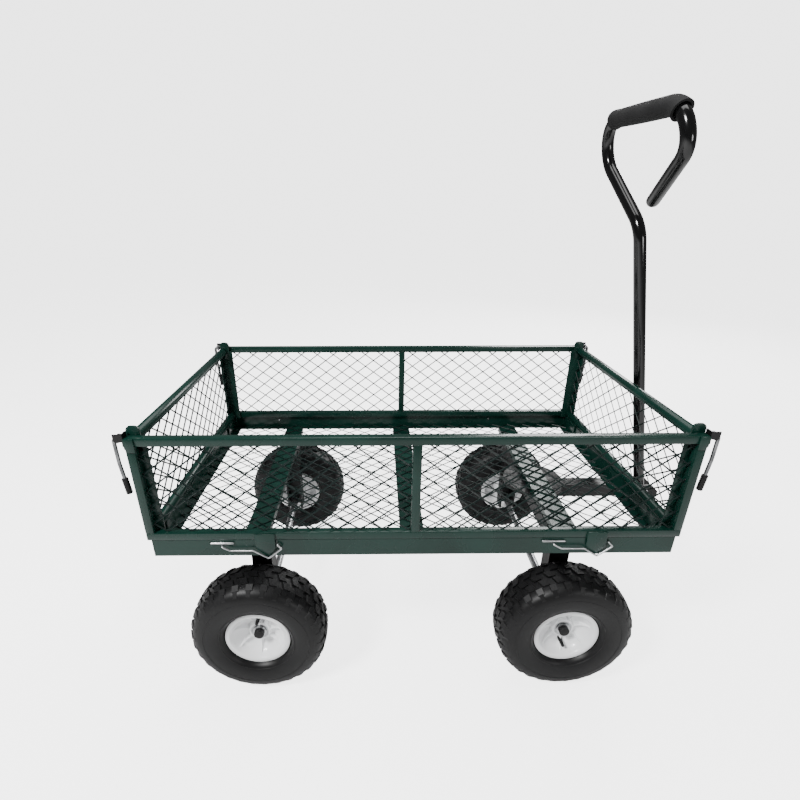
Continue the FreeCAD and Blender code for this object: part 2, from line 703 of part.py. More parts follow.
def tyre(label, x, side):
    seat = d.rim_radius - d.rim_lip
    bead = d.rim_half - d.rim_wall
    half = d.tyre_width / 2
    crown = d.tyre_across / 2
    wall = d.tyre_wall
    edge = d.rim_radius
    outside = [(seat, bead), (edge + 1, bead), (edge + 5, bead + 6), (edge + 16, half), (crown, half)]
    inside = [(crown - wall, half - wall - 12), (crown - wall - 10, half - wall), (edge + 18, half - wall),
              (edge + 3, bead - wall + 3), (seat, bead - wall)]
    half_loop = outside + [(r, -z) for r, z in reversed(outside)]
    return_loop = [(r, -z) for r, z in reversed(inside)] + inside
    body = revolved(label, half_loop + return_loop)
    doc.recompute()
    turned = body.Tip
    edges = circles_at(turned.Shape, crown.value, (half.value, -half.value))
    shoulder = body.newObject("PartDesign::Fillet", label + "_shoulder")
    shoulder.Base = (turned, edges)
    bind(shoulder, Radius=d.tyre_shoulder)
    body.Tip = shoulder
    finish(label, wheel_place(body, x, side))


def rim(label, x, side):
    """A pressed rim: hub sleeve, dished disc with radial ribs, barrel and two flanges."""
    seat = d.rim_radius - d.rim_lip
    inner = seat - d.rim_wall
    half = d.rim_half
    bowl_edge = d.rim_radius - d.rim_face
    bowl_floor = d.hub_outer - 11
    corners = [
        (d.bearing_radius, -d.hub_inner), (d.hub_radius, -d.hub_inner), (d.hub_radius, bowl_floor - 5),
        (inner, half - 12), (inner, -half), (d.rim_radius, -half), (d.rim_radius, d.rim_wall - half),
        (seat, d.rim_wall - half), (seat, half - d.rim_wall), (d.rim_radius, half - d.rim_wall),
        (d.rim_radius, half), (bowl_edge, half), (bowl_edge - 3, half - 7), (d.hub_radius, bowl_floor),
        (d.hub_radius, d.hub_outer), (d.bearing_radius, d.hub_outer),
    ]
    body = revolved(label, corners)
    plane = [feature for feature in body.Origin.OriginFeatures if feature.Role == "XZ_Plane"][0]
    outline = body.newObject("Sketcher::SketchObject", label + "_rib_outline")
    outline.AttachmentSupport = [(plane, "")]
    outline.MapMode = "FlatFace"
    rib_foot, rib_end = d.hub_radius - 1, bowl_edge - 2
    polygon(outline, [(rib_foot, bowl_floor - 2), (rib_end, half - 8), (rib_end, half - 5),
                      (rib_foot, d.hub_outer - 1)])
    rib = body.newObject("PartDesign::Pad", label + "_rib")
    rib.Profile = outline
    rib.Midplane = True
    rib.Length = 3
    ribs = body.newObject("PartDesign::PolarPattern", label + "_ribs")
    ribs.Originals = [rib]
    ribs.Axis = (outline, ["V_Axis"])
    ribs.Angle = 360
    bind(ribs, Occurrences=d.rim_ribs)
    body.Tip = ribs
    valve_hole = rod("Y", (x, side * d.track / 2, valve_height(x)), side * 30, d.valve_across / 2)
    finish(label, cut(wheel_place(body, x, side), valve_hole))


def bearings(label, x, side):
    middle = d.track / 2
    outer = (x, side * (middle + d.hub_outer), AXLE_HEIGHT)
    inner = (x, side * (middle - d.hub_inner), AXLE_HEIGHT)
    bore = d.axle / 2 + d.running_fit
    finish(label, group(ring("Y", outer, -side * d.bearing_width, d.bearing_radius, bore),
                        ring("Y", inner, side * d.bearing_width, d.bearing_radius, bore)))


def valve_height(x):
    """The front wheels stand with their valves below the axle, the rear wheels with them above it."""
    return AXLE_HEIGHT - d.valve_radius if x.value > 0 else AXLE_HEIGHT + d.valve_radius


def valve_stem(label, x, side):
    """The tyre valve with its cap, held in a hole of the dished disc."""
    foot = d.track / 2 + 4
    stem = rod("Y", (x, side * foot, valve_height(x)), side * 16, d.valve_across / 2)
    cap = rod("Y", (x, side * (foot + 16), valve_height(x)), side * 8, d.valve_across / 2 - 1)
    finish(label, fuse(stem, cap))


def wheel(name, x, side):
    tyre(name + "_tyre", x, side)
    rim(name + "_rim", x, side)
    bearings(name + "_bearings", x, side)
    valve_stem(name + "_valve_stem", x, side)


# ---------------------------------------------------------------- side panels
def tab_outline(tip_x):
    """A tab that narrows below its lower third to a blunt, off-centre point."""
    rear = tip_x - 0.62 * d.tab_width
    front = rear + d.tab_width
    top = PANEL_BOTTOM + d.tab_rise
    tip = DECK_TOP - d.tab_drop
    shoulder = tip + 17
    return [(rear, top), (rear, shoulder), (tip_x - 4, tip), (tip_x + 4, tip), (front, shoulder), (front, top)]


def side_panel(name, side):
    y = (side * SIDE_INNER, side * SIDE_FACE)
    tube = d.side_tube
    rails = [square_tube((-SIDE_END, SIDE_END), y, z, d.side_wall, "X")
             for z in ((PANEL_BOTTOM, PANEL_BOTTOM + tube), (PANEL_TOP - tube, PANEL_TOP))]
    spans = [(-SIDE_END, tube - SIDE_END), (-tube / 2, tube / 2), (SIDE_END - tube, SIDE_END)]
    posts = [square_tube(x, y, (PANEL_BOTTOM + tube, PANEL_TOP - tube), d.side_wall, "Z") for x in spans]
    fittings = []
    for end in (-1, 1):
        outer = (side * SIDE_FACE, side * (SIDE_FACE + d.tab_sheet))
        fittings.append(plate_xz(tab_outline(tab_tip_x(end)), outer))
        gusset = [(end * SIDE_END, PANEL_TOP), (end * SIDE_END, PANEL_TOP - 17),
                  (end * (SIDE_END - 5), PANEL_TOP - 24), (end * (SIDE_END - 16), PANEL_TOP - 24),
                  (end * (SIDE_END - 16), PANEL_TOP)]
        fittings.append(plate_xz(gusset, (side * SIDE_FACE, side * (SIDE_FACE + 2))))
    finish(name + "_side_frame", fuse(*rails, *posts, *fittings))

    width = SIDE_END - 1.5 * tube
    height = d.side_height - 2 * tube
    piece = expanded_metal(width.value, height.value)
    back = side * (SIDE_FACE - tube / 2) + d.sheet / 2
    halves = [sheet_at(piece, FACING_Y, x, back, PANEL_BOTTOM + tube) for x in (tube - SIDE_END, tube / 2)]
    finish(name + "_side_mesh", shaped(Part.makeCompound(halves)))


def latch_brackets(name, side):
    """At each end of a side panel, an end plate with one cheek that carries the latch's pin."""
    pieces = []
    for end in (-1, 1):
        low, high = LATCH_Z - 13, LATCH_Z + 8
        across = (side * (SIDE_INNER + 0.5), side * SIDE_FACE)
        plate = box((end * SIDE_END, end * (SIDE_END + d.latch_sheet)), across, (low, high))
        outline = [(end * SIDE_END, high), (end * (LATCH_X + 6), high), (end * (LATCH_X + 6), LATCH_Z - 3),
                   (end * (LATCH_X + 2), LATCH_Z - 7), (end * SIDE_END, LATCH_Z - 4)]
        cheek = plate_xz(outline, (side * (SIDE_FACE - d.latch_sheet), side * SIDE_FACE))
        pin = rod("Y", (end * LATCH_X, side * SIDE_FACE, LATCH_Z), -side * 12, d.latch_pin / 2)
        pieces.append(fuse(plate, cheek, pin))
    finish(name + "_latch_brackets", group(*pieces))


def latch_points(end, side):
    """The latch rod's corners: out from the pivot, over, and down to the grip."""
    x, y, z = LATCH_X, side * LATCH_Y, LATCH_Z
    reach = d.latch_reach
    return [(end * x, y, z), (end * (x + reach), y, z - 3), (end * (x + reach), y, z - 45),
            (end * (x + reach - 5), y, z - d.latch_drop)]


def latch_lever(name, end, side):
    points = latch_points(end, side)
    steel = shaped(bent_rod(points, (6, 90), d.latch_rod))
    hub_half = 4
    hub = rod("Y", (end * LATCH_X, side * (LATCH_Y - hub_half), LATCH_Z), side * 2 * hub_half, 5.5)
    across = (side * (LATCH_Y - hub_half), side * (LATCH_Y - 12))
    finger = box((end * (LATCH_X - 2.5), end * (LATCH_X + 1)), across, (LATCH_Z - 5.5, LATCH_Z + 1))
    bore_radius = d.latch_pin / 2 + d.running_fit
    bore = rod("Y", (end * LATCH_X, side * (LATCH_Y - 30), LATCH_Z), side * 60, bore_radius)
    finish(name + "_lever", cut(fuse(steel, hub, finger), bore))

    foot = Vector(*[sized(c).value for c in points[-1]])
    bend = Vector(*[sized(c).value for c in points[-2]])
    along = (bend - foot).normalize()
    length = d.latch_grip_length.value
    sleeve = Part.makeCylinder(d.latch_grip.value / 2, length, foot - along * 2, along)
    core = Part.makeCylinder(d.latch_rod.value / 2, length + 4, foot, along)
    finish(name + "_grip", shaped(sleeve.cut(core)))


# ---------------------------------------------------------------- gates
def gate(name, end):
    """A gate: two round rails, a corner angle and an ear at each end, and two tabs into the bed."""
    axis = GATE_REACH
    outer = axis + 6
    inner = outer - d.gate_angle
    wall = d.gate_angle_wall
    reach = GATE_HALF - wall
    heights = (PANEL_BOTTOM + d.gate_tube / 2, GATE_AXIS_HEIGHT)
    pieces = []
    radius = d.gate_tube / 2
    for z in heights:
        pieces.append(ring("Y", (end * axis, -reach, z), 2 * reach, radius, radius - d.gate_wall))
    for side in (-1, 1):
        upright = (PANEL_BOTTOM, GATE_AXIS_HEIGHT)
        face = (side * (GATE_HALF - d.gate_angle_face), side * GATE_HALF)
        pieces.append(box((end * (outer - wall), end * outer), face, upright))
        pieces.append(box((end * inner, end * outer), (side * reach, side * GATE_HALF), upright))
        near, far = end * (axis + d.ear_reach - d.ear_width), end * (axis + d.ear_reach)
        top = PANEL_TOP + d.ear_height
        ear = [(near, PANEL_TOP - 30), (far, PANEL_TOP - 30), (far, top - 8), (far - end * 3, top - 3),
               (far - end * 8, top), (near + end * 8, top), (near + end * 3, top - 3), (near, top - 8)]
        pieces.append(plate_xz(ear, (side * reach, side * GATE_HALF)))
        tab_outer = d.bed_length / 2 - d.frame_wall - d.face_gap
        tab_edge = d.bed_width / 2 - d.gate_tab_inset
        tab_face = (side * (tab_edge - d.tab_width), side * tab_edge)
        pieces.append(box((end * (tab_outer - wall), end * tab_outer), tab_face, (FLOOR + d.sheet + 4, heights[0])))
    finish(name + "_gate_frame", fuse(*pieces))

    width = 2 * reach
    height = d.side_height - 2 * d.gate_tube
    piece = expanded_metal(width.value, height.value)
    placed = sheet_at(piece, FACING_X, end * axis - d.sheet / 2, -reach, PANEL_BOTTOM + d.gate_tube)
    finish(name + "_gate_mesh", shaped(placed))


# ---------------------------------------------------------------- spring clips
def spring_clip(label, end, side):
    """A bent wire that pivots in the bed frame, runs under the tab and hooks up past it."""
    x = clip_pivot_x(end)
    y, z = side * CLIP_Y, CLIP_Z
    face = side * (d.bed_width / 2 - d.frame_wall - 3)
    tip = DECK_TOP - d.tab_drop - d.clip_wire / 2 - 1
    reach = d.clip_reach
    stop = side * (d.bed_width / 2 + 0.8 + d.clip_wire / 2)
    points = [(x, face, z), (x, y, z), (x + 14, y, z - 8), (x + reach - 25, y, z - 8), (x + reach, y, tip),
              (x + reach + 24, y, z - 4), (x + reach + 17, y, z + 3), (x + reach + 17, stop, z + 3)]
    radii = (2.5, 6, 10, 3, 2.5, 1.7)
    finish(label, shaped(bent_rod(points, radii, d.clip_wire)))


def clip_bars():
    """The round bars welded to the bed frame above each spring clip's pivot."""
    pieces = []
    for side in (-1, 1):
        for end in (-1, 1):
            x = clip_pivot_x(end)
            start = (x - d.clip_bar / 2, side * (d.bed_width / 2 + 2), CLIP_Z + 5)
            pieces.append(rod("X", start, d.clip_bar, 2))
    finish("clip_bars", group(*pieces))


# ---------------------------------------------------------------- the whole cart
SIDES = (("right", -1), ("left", 1))
ENDS = (("rear", -1), ("front", 1))

bed_frame()
bed_mesh()
for end_name, position in (("rear", -AXLE_REACH), ("middle", sized(0)), ("front", AXLE_REACH)):
    cross_member(end_name + "_cross_member", position)
rear_axle_bracket()
upper_turntable_plate()
kingpin()
chassis_bolts()
lower_turntable_plate()
steering_beam()
tongue()
handle_pivot_bolt()
handle()
for end_name, end_sign in ENDS:
    axle(end_name + "_axle", end_sign * AXLE_REACH)
    axle_hardware(end_name + "_axle_hardware", end_sign * AXLE_REACH)
    gate(end_name, end_sign)
    for side_name, side_sign in SIDES:
        corner = end_name + "_" + side_name
        wheel(corner, end_sign * AXLE_REACH, side_sign)
        latch_lever(corner + "_latch", end_sign, side_sign)
        spring_clip(corner + "_spring_clip", end_sign, side_sign)
for side_name, side_sign in SIDES:
    side_panel(side_name, side_sign)
    latch_brackets(side_name, side_sign)
clip_bars()
doc.recompute()

# ---------------------------------------------------------------- checks and output
for thing in doc.Objects:
    if "Invalid" in thing.State or "Error" in thing.State:
        raise RuntimeError("%s did not build: %s" % (thing.Label, thing.State))
for label, thing in parts.items():
    if thing.Shape.isNull() or not thing.Shape.isValid() or not thing.Shape.Solids:
        raise RuntimeError("%s has no valid solid" % label)

whole = FreeCAD.BoundBox()
for thing in parts.values():
    whole.add(thing.Shape.optimalBoundingBox())
to_origin = Vector(-whole.Center.x, -whole.Center.y, -whole.ZMin)

os.makedirs("parts", exist_ok=True)
for label, thing in parts.items():
    shape = thing.Shape.copy()
    shape.translate(to_origin)
    shape.exportStep(os.path.join("parts", label + ".step"))
print("%d sub-parts, %.1f x %.1f x %.1f mm" % (len(parts), whole.XLength, whole.YLength, whole.ZLength))
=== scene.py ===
import math
import random

import bmesh
import bpy
from mathutils import Matrix, Vector


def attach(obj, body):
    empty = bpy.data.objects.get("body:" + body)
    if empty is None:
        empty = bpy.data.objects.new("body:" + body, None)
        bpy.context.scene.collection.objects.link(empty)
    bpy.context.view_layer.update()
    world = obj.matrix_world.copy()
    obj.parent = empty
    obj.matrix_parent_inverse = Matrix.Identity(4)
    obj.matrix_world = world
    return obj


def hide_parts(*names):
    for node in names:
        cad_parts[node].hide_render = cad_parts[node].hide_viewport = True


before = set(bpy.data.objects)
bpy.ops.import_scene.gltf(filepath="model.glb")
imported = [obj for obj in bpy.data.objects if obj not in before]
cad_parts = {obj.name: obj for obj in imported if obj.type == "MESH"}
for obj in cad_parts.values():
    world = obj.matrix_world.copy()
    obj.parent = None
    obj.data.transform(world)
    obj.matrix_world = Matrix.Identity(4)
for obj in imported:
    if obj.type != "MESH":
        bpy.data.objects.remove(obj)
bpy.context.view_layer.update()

MM = 0.001
BED_MIDDLE = -44.0          # where the bed's middle is along X in the frame, in mm
rng = random.Random(11)


# ------------------------------------------------------------------ materials
def new_material(name, colour, rough, metallic=0.0):
    """A principled material, with what the helpers below need to add to it."""
    mat = bpy.data.materials.new(name)
    mat.use_nodes = True
    nodes, links = mat.node_tree.nodes, mat.node_tree.links
    shader = nodes["Principled BSDF"]
    shader.inputs["Base Color"].default_value = (*colour, 1)
    shader.inputs["Roughness"].default_value = rough
    shader.inputs["Metallic"].default_value = metallic
    coords = nodes.new("ShaderNodeTexCoord")
    return mat, nodes, links, shader, coords


def noise(nodes, links, coords, scale, detail=3.0):
    texture = nodes.new("ShaderNodeTexNoise")
    texture.inputs["Scale"].default_value = scale
    texture.inputs["Detail"].default_value = detail
    links.new(coords.outputs["Object"], texture.inputs["Vector"])
    return texture


def ramp(nodes, links, source, stops):
    node = nodes.new("ShaderNodeValToRGB")
    elements = node.color_ramp.elements
    while len(elements) < len(stops):
        elements.new(0.5)
    for element, (position, colour) in zip(elements, stops):
        element.position = position
        element.color = (*colour, 1)
    links.new(source, node.inputs["Fac"])
    return node


def rough_range(nodes, links, source, low, high, shader):
    span = nodes.new("ShaderNodeMapRange")
    span.inputs["To Min"].default_value = low
    span.inputs["To Max"].default_value = high
    links.new(source, span.inputs["Value"])
    links.new(span.outputs["Result"], shader.inputs["Roughness"])


def bump(nodes, links, source, shader, distance, strength=0.5):
    node = nodes.new("ShaderNodeBump")
    node.inputs["Distance"].default_value = distance
    node.inputs["Strength"].default_value = strength
    links.new(source, node.inputs["Height"])
    links.new(node.outputs["Normal"], shader.inputs["Normal"])


def coated(name, dark, light, rough, grain=900.0, relief=0.00012, coat=0.0):
    """Powder coat or paint: two close shades in soft patches and a fine orange-peel surface."""
    mat, nodes, links, shader, coords = new_material(name, light, rough)
    patches = noise(nodes, links, coords, 14.0)
    shades = ramp(nodes, links, patches.outputs["Fac"], [(0.3, dark), (0.7, light)])
    links.new(shades.outputs["Color"], shader.inputs["Base Color"])
    peel = noise(nodes, links, coords, grain, 2.0)
    rough_range(nodes, links, patches.outputs["Fac"], rough - 0.07, rough + 0.07, shader)
    bump(nodes, links, peel.outputs["Fac"], shader, relief)
    shader.inputs["Specular IOR Level"].default_value = 0.35
    shader.inputs["Coat Weight"].default_value = coat
    shader.inputs["Coat Roughness"].default_value = 0.08
    return mat


def plated(name, dark, light, rough):
    """Zinc-plated or bare steel: cloudy tone, fine scratches, metallic."""
    mat, nodes, links, shader, coords = new_material(name, light, rough, 1.0)
    clouds = noise(nodes, links, coords, 60.0, 5.0)
    shades = ramp(nodes, links, clouds.outputs["Fac"], [(0.35, dark), (0.65, light)])
    links.new(shades.outputs["Color"], shader.inputs["Base Color"])
    rough_range(nodes, links, clouds.outputs["Fac"], rough - 0.08, rough + 0.12, shader)
    fine = noise(nodes, links, coords, 1400.0, 2.0)
    bump(nodes, links, fine.outputs["Fac"], shader, 0.00005)
    return mat


def rubber(name, dark, light, rough, grain, relief):
    """Rubber or foam: matt, slightly dusty, with a fine skin."""
    mat, nodes, links, shader, coords = new_material(name, light, rough)
    dust = noise(nodes, links, coords, 22.0, 6.0)
    shades = ramp(nodes, links, dust.outputs["Fac"], [(0.35, dark), (0.7, light)])
    links.new(shades.outputs["Color"], shader.inputs["Base Color"])
    rough_range(nodes, links, dust.outputs["Fac"], rough - 0.08, rough + 0.08, shader)
    skin = nodes.new("ShaderNodeTexVoronoi")
    skin.inputs["Scale"].default_value = grain
    links.new(coords.outputs["Object"], skin.inputs["Vector"])
    bump(nodes, links, skin.outputs["Distance"], shader, relief, 0.4)
    shader.inputs["Specular IOR Level"].default_value = 0.3
    return mat


GREEN = coated("green_coat", (0.0018, 0.0185, 0.013), (0.0034, 0.029, 0.0208), 0.27, coat=0.05)
MESH_GREEN = coated("mesh_coat", (0.002, 0.008, 0.007), (0.004, 0.013, 0.0115), 0.40)
BLACK = coated("black_coat", (0.0025, 0.0025, 0.0028), (0.005, 0.005, 0.0055), 0.40)
GLOSS = coated("gloss_black", (0.0015, 0.0015, 0.0017), (0.0025, 0.0025, 0.0028), 0.14,
               grain=300.0, relief=0.00003, coat=0.5)
WHITE = coated("rim_white", (0.92, 0.93, 0.94), (0.95, 0.955, 0.96), 0.30,
               grain=700.0, relief=0.00006, coat=0.3)
ZINC = plated("zinc", (0.42, 0.43, 0.44), (0.66, 0.67, 0.68), 0.32)
STEEL = plated("lever_steel", (0.16, 0.165, 0.17), (0.32, 0.325, 0.33), 0.34)
TYRE = rubber("tyre_rubber", (0.0025, 0.0025, 0.0028), (0.0055, 0.0055, 0.006), 0.45,
              grain=900.0, relief=0.00012)
GRIP = rubber("grip_foam", (0.008, 0.008, 0.0083), (0.014, 0.014, 0.0145), 0.8, grain=1500.0, relief=0.0004)
SOFT = rubber("sleeve_rubber", (0.003, 0.003, 0.0033), (0.006, 0.006, 0.0065), 0.5,
              grain=1200.0, relief=0.0002)


# ------------------------------------------------------------------ mesh building
def point(x, y, z):
    """Millimetres about the bed's middle to metres in the frame."""
    return Vector(((x + BED_MIDDLE) * MM, y * MM, z * MM))


def mesh_object(name, verts, faces, mat, angle):
    mesh = bpy.data.meshes.new(name)
    mesh.from_pydata([tuple(v) for v in verts], [], faces)
    mesh.validate()
    work = bmesh.new()
    work.from_mesh(mesh)
    bmesh.ops.recalc_face_normals(work, faces=work.faces)
    work.to_mesh(mesh)
    work.free()
    obj = bpy.data.objects.new(name, mesh)
    bpy.context.scene.collection.objects.link(obj)
    mesh.materials.append(mat)
    soften_shading(mesh, angle)
    return obj


def soften_shading(mesh, angle):
    """Smooth shading, kept sharp at edges that turn by more than an angle in degrees."""
    mesh.polygons.foreach_set("use_smooth", [True] * len(mesh.polygons))
    mesh.set_sharp_from_angle(angle=math.radians(angle))


BOX_FACES = ((0, 1, 2, 3), (7, 6, 5, 4), (0, 4, 5, 1), (1, 5, 6, 2), (2, 6, 7, 3), (3, 7, 4, 0))


class Build:
    """Collects vertices and faces of several shapes into one mesh, in mm about the bed's middle."""

    def __init__(self):
        self.verts = []
        self.faces = []

    def add(self, verts, faces):
        """Adds a shape, its faces numbered from its own first vertex."""
        base = len(self.verts)
        self.verts += verts
        self.faces += [tuple(base + i for i in face) for face in faces]

    def block(self, low, high, edge):
        """A box with every edge rounded, so that it catches the light like a rolled tube."""
        work = bmesh.new()
        bmesh.ops.create_cube(work, size=1)
        low, high = Vector(map(min, low, high)), Vector(map(max, low, high))
        for v in work.verts:
            v.co = [low[i] if v.co[i] < 0 else high[i] for i in range(3)]
        bmesh.ops.bevel(work, geom=work.edges[:], offset=edge, segments=2, profile=0.5, affect="EDGES")
        self.take(work)

    def take(self, work):
        """Adds a bmesh and frees it."""
        work.verts.index_update()
        self.add([v.co.copy() for v in work.verts], [[v.index for v in f.verts] for f in work.faces])
        work.free()

    def prism(self, outline, across, turn, edge):
        """A plate from its corners (a, b) and two faces, all placed by turn(a, b, depth)."""
        work = bmesh.new()
        low, high = sorted(across)
        ring = [work.verts.new(turn(a, b, low)) for a, b in outline]
        face = work.faces.new(ring)
        swept = bmesh.ops.extrude_face_region(work, geom=[face])["geom"]
        shift = turn(0, 0, high) - turn(0, 0, low)
        far_side = [part for part in swept if isinstance(part, bmesh.types.BMVert)]
        bmesh.ops.translate(work, vec=shift, verts=far_side)
        bmesh.ops.recalc_face_normals(work, faces=work.faces)
        bmesh.ops.bevel(work, geom=work.edges[:], offset=edge, segments=2, profile=0.5, affect="EDGES")
        self.take(work)

    def sweep(self, path, radius, sides, swell=None, domed=True):
        """A round rod along a path; swell(i) scales the radius ring by ring."""
        path = [Vector(p) for p in path]
        tangent = (path[1] - path[0]).normalized()
        normal = tangent.orthogonal().normalized()
        verts, faces, rings = [], [], []
        for i, here in enumerate(path):
            ahead = path[min(i + 1, len(path) - 1)] - path[max(i - 1, 0)]
            ahead.normalize()
            normal = (normal - ahead * normal.dot(ahead)).normalized()
            side = ahead.cross(normal)
            scale = radius * (swell(i) if swell else 1)
            rings.append((here, normal.copy(), side, ahead, scale))
        if domed:
            rings = dome(rings[0], -1)[::-1] + rings + dome(rings[-1], 1)
        for here, normal, side, ahead, scale in rings:
            for k in range(sides):
                a = 2 * math.pi * k / sides
                verts.append(here + (normal * math.cos(a) + side * math.sin(a)) * scale)
        for i in range(len(rings) - 1):
            for k in range(sides):
                n = (k + 1) % sides
                faces.append([i * sides + k, i * sides + n, (i + 1) * sides + n, (i + 1) * sides + k])
        last = (len(rings) - 1) * sides
        faces.append(list(range(sides))[::-1])
        faces.append([last + k for k in range(sides)])
        self.add(verts, faces)

    def tube(self, path, outer, inner, sides):
        """An open-ended sleeve along a path, with an outer and an inner radius at each point."""
        skins = []
        for radius in (outer, inner):
            skin = Build()
            skin.sweep(path, 1, sides, radius, domed=False)
            skins.append(skin)
        outside, inside = skins
        base = len(outside.verts)
        faces = outside.faces[:-2] + [tuple(base + i for i in face) for face in inside.faces[:-2]]
        for ring in (0, (len(path) - 1) * sides):
            for k in range(sides):
                n = (k + 1) % sides
                faces.append((ring + k, ring + n, base + ring + n, base + ring + k))
        self.add(outside.verts + inside.verts, faces)

    def lathe(self, profile, centre, axis, segments, closed=False):
        """A turned shape from (radius, distance along the axis); closed joins the profile's two ends."""
        axis = Vector(axis).normalized()
        normal = axis.orthogonal().normalized()
        side = axis.cross(normal)
        centre = Vector(centre)
        verts, faces = [], []
        count = len(profile)
        for r, h in profile:
            for k in range(segments):
                a = 2 * math.pi * k / segments
                out = normal * math.cos(a) + side * math.sin(a)
                verts.append(centre + axis * h + out * r)
        for i in range(count if closed else count - 1):
            j = (i + 1) % count
            for k in range(segments):
                n = (k + 1) % segments
                faces.append([i * segments + k, i * segments + n, j * segments + n, j * segments + k])
        if not closed:
            faces.append(list(range(segments))[::-1])
            faces.append([(count - 1) * segments + k for k in range(segments)])
        self.add(verts, faces)

    def weld(self, start, end, radius):
        """A bead of overlapping puddles along a seam."""
        start, end = Vector(start), Vector(end)
        steps = max(6, int((end - start).length / (radius * 0.45)))
        wave = [0.78 + 0.22 * abs(math.sin(i * 1.05)) + rng.uniform(-0.05, 0.05) for i in range(steps + 1)]
        path = [start.lerp(end, i / steps) for i in range(steps + 1)]
        self.sweep(path, radius, 8, lambda i: wave[i])

    def finish(self, name, mat, body, slot, nodes=(), angle=40):
        """Makes the piece: rides it on a body and puts it in place of CAD nodes. The slot argument is not
        used.
        """
        verts = [point(*v) for v in self.verts]
        obj = mesh_object(name, verts, self.faces, mat, angle)
        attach(obj, body)
        if nodes:
            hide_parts(*nodes)


def dome(ring, way):
    """Rings that close a rod's end with a rounded cap inside its own length."""
    here, normal, side, ahead, scale = ring
    caps = []
    for step in (0.45, 0.8, 0.97):
        shrink = math.sqrt(max(1 - step * step, 0.01))
        caps.append((here + ahead * way * scale * step * 0.12, normal, side, ahead, scale * shrink))
    return caps


LONGEST_RUN = 40


def rounded(points, radii, steps=8):
    """A path of straight runs joined by arcs, with long runs cut into shorter ones."""
    points = [Vector(p) for p in points]
    path = [points[0]]
    for before, corner, after, radius in zip(points, points[1:], points[2:], radii):
        to_start = (before - corner).normalized()
        to_end = (after - corner).normalized()
        half = to_start.angle(to_end) / 2
        reach = radius / math.tan(half)
        centre = corner + (to_start + to_end).normalized() * (radius / math.sin(half))
        first = (corner + to_start * reach - centre).normalized()
        last = (corner + to_end * reach - centre).normalized()
        for i in range(steps + 1):
            path.append(centre + first.slerp(last, i / steps) * radius)
    path.append(points[-1])
    dense = [path[0]]
    for here, there in zip(path, path[1:]):
        pieces = max(1, int((there - here).length / LONGEST_RUN))
        dense += [here.lerp(there, (i + 1) / pieces) for i in range(pieces)]
    return dense


def soften(node, width, mat):
    """A CAD node kept as it is, with its sharp edges rounded by a modifier and its own finish."""
    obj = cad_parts[node]
    obj.data.materials.clear()
    obj.data.materials.append(mat)
    soften_shading(obj.data, 40)
    if width:
        edge = obj.modifiers.new("edges", "BEVEL")
        edge.width = width * MM
        edge.segments = 2
        edge.limit_method = "ANGLE"
        edge.angle_limit = math.radians(35)
        edge.harden_normals = True


def facing_y(a, b, depth):
    """Turns a plate's outline into the X-Z plane."""
    return Vector((a, depth, b))


# ------------------------------------------------------------------ sizes, mm
DECK_TOP, FLOOR = 340, 310                   # the bed frame's top edge, and what the floor's mesh lies on
BED_X, BED_Y = 450, 263                      # half the bed's length and half its width
SIDE_FACE, SIDE_INNER, SIDE_END, SIDE_TUBE = 264, 249.5, 457, 14.5
PANEL_BOTTOM, PANEL_TOP = 340.5, 534.5       # of the sides and the gates
GATE_X, GATE_TUBE, GATE_HALF = 452, 19, 247.5
LONG, SHORT, STRAND = 41, 31.5, 2.3          # a diamond's two pitches, and a strand's width
STRAND_TILT, STRAND_BITE = 0.45, 1.0         # in radians, and in mm
AXLE_X, AXLE_Z, TRACK = 287.5, 127, 248.5
LATCH_X, LATCH_Y, LATCH_Z = 466, 256.75, 533.5
PIVOT_X, PIVOT_Z, LEAN = 533, 274.5, math.radians(12)
SIDES = (("right", -1), ("left", 1))
ENDS = (("rear", -1), ("front", 1))


# ------------------------------------------------------------------ expanded metal
def expanded(build, width, height, place, depth):
    """Strands from knuckle to knuckle, in a rectangle that place(u, v, depth) puts in the frame."""
    out = place(0, 0, 1) - place(0, 0, 0)
    for row in range(int(2 * height / SHORT) + 2):
        for column in range(-1, int(width / LONG) + 2):
            u = (column + (row % 2) / 2) * LONG + LONG / 2
            v = row * SHORT / 2
            for way in (-1, 1):
                piece = clip_segment((u, v), (u + way * LONG / 2, v + SHORT / 2), width, height)
                if piece:
                    start, end = (place(*corner, depth) for corner in piece)
                    strand(build, start, end, out, way * STRAND_TILT)


def strand(build, start, end, out, tilt):
    """A flat bar turned on edge, as slitting and pulling leaves the metal, let into the knuckles."""
    along = (end - start).normalized()
    flat = along.cross(out).normalized()
    wide = (flat * math.cos(tilt) + out * math.sin(tilt)) * (STRAND * 0.5)
    thick = (out * math.cos(tilt) - flat * math.sin(tilt)) * (STRAND * 0.36)
    corners = []
    for place in (start - along * STRAND_BITE, end + along * STRAND_BITE):
        corners += [place + wide + thick, place - wide + thick, place - wide - thick, place + wide - thick]
    build.add(corners, BOX_FACES)


SHORTEST_SHARE = 0.04          # a strand with less of its length inside the rectangle is left out


def clip_segment(a, b, width, height):
    """The part of a segment inside a rectangle, or None."""
    t0, t1 = 0.0, 1.0
    for start, delta, limit in ((a[0], b[0] - a[0], width), (a[1], b[1] - a[1], height)):
        for p, q in ((-delta, start), (delta, limit - start)):
            if abs(p) < 1e-9:
                if q < 0:
                    return None
                continue
            t = q / p
            if p < 0:
                t0 = max(t0, t)
            else:
                t1 = min(t1, t)
    if t1 - t0 < SHORTEST_SHARE:
        return None
    return [(a[0] + (b[0] - a[0]) * t, a[1] + (b[1] - a[1]) * t) for t in (t0, t1)]


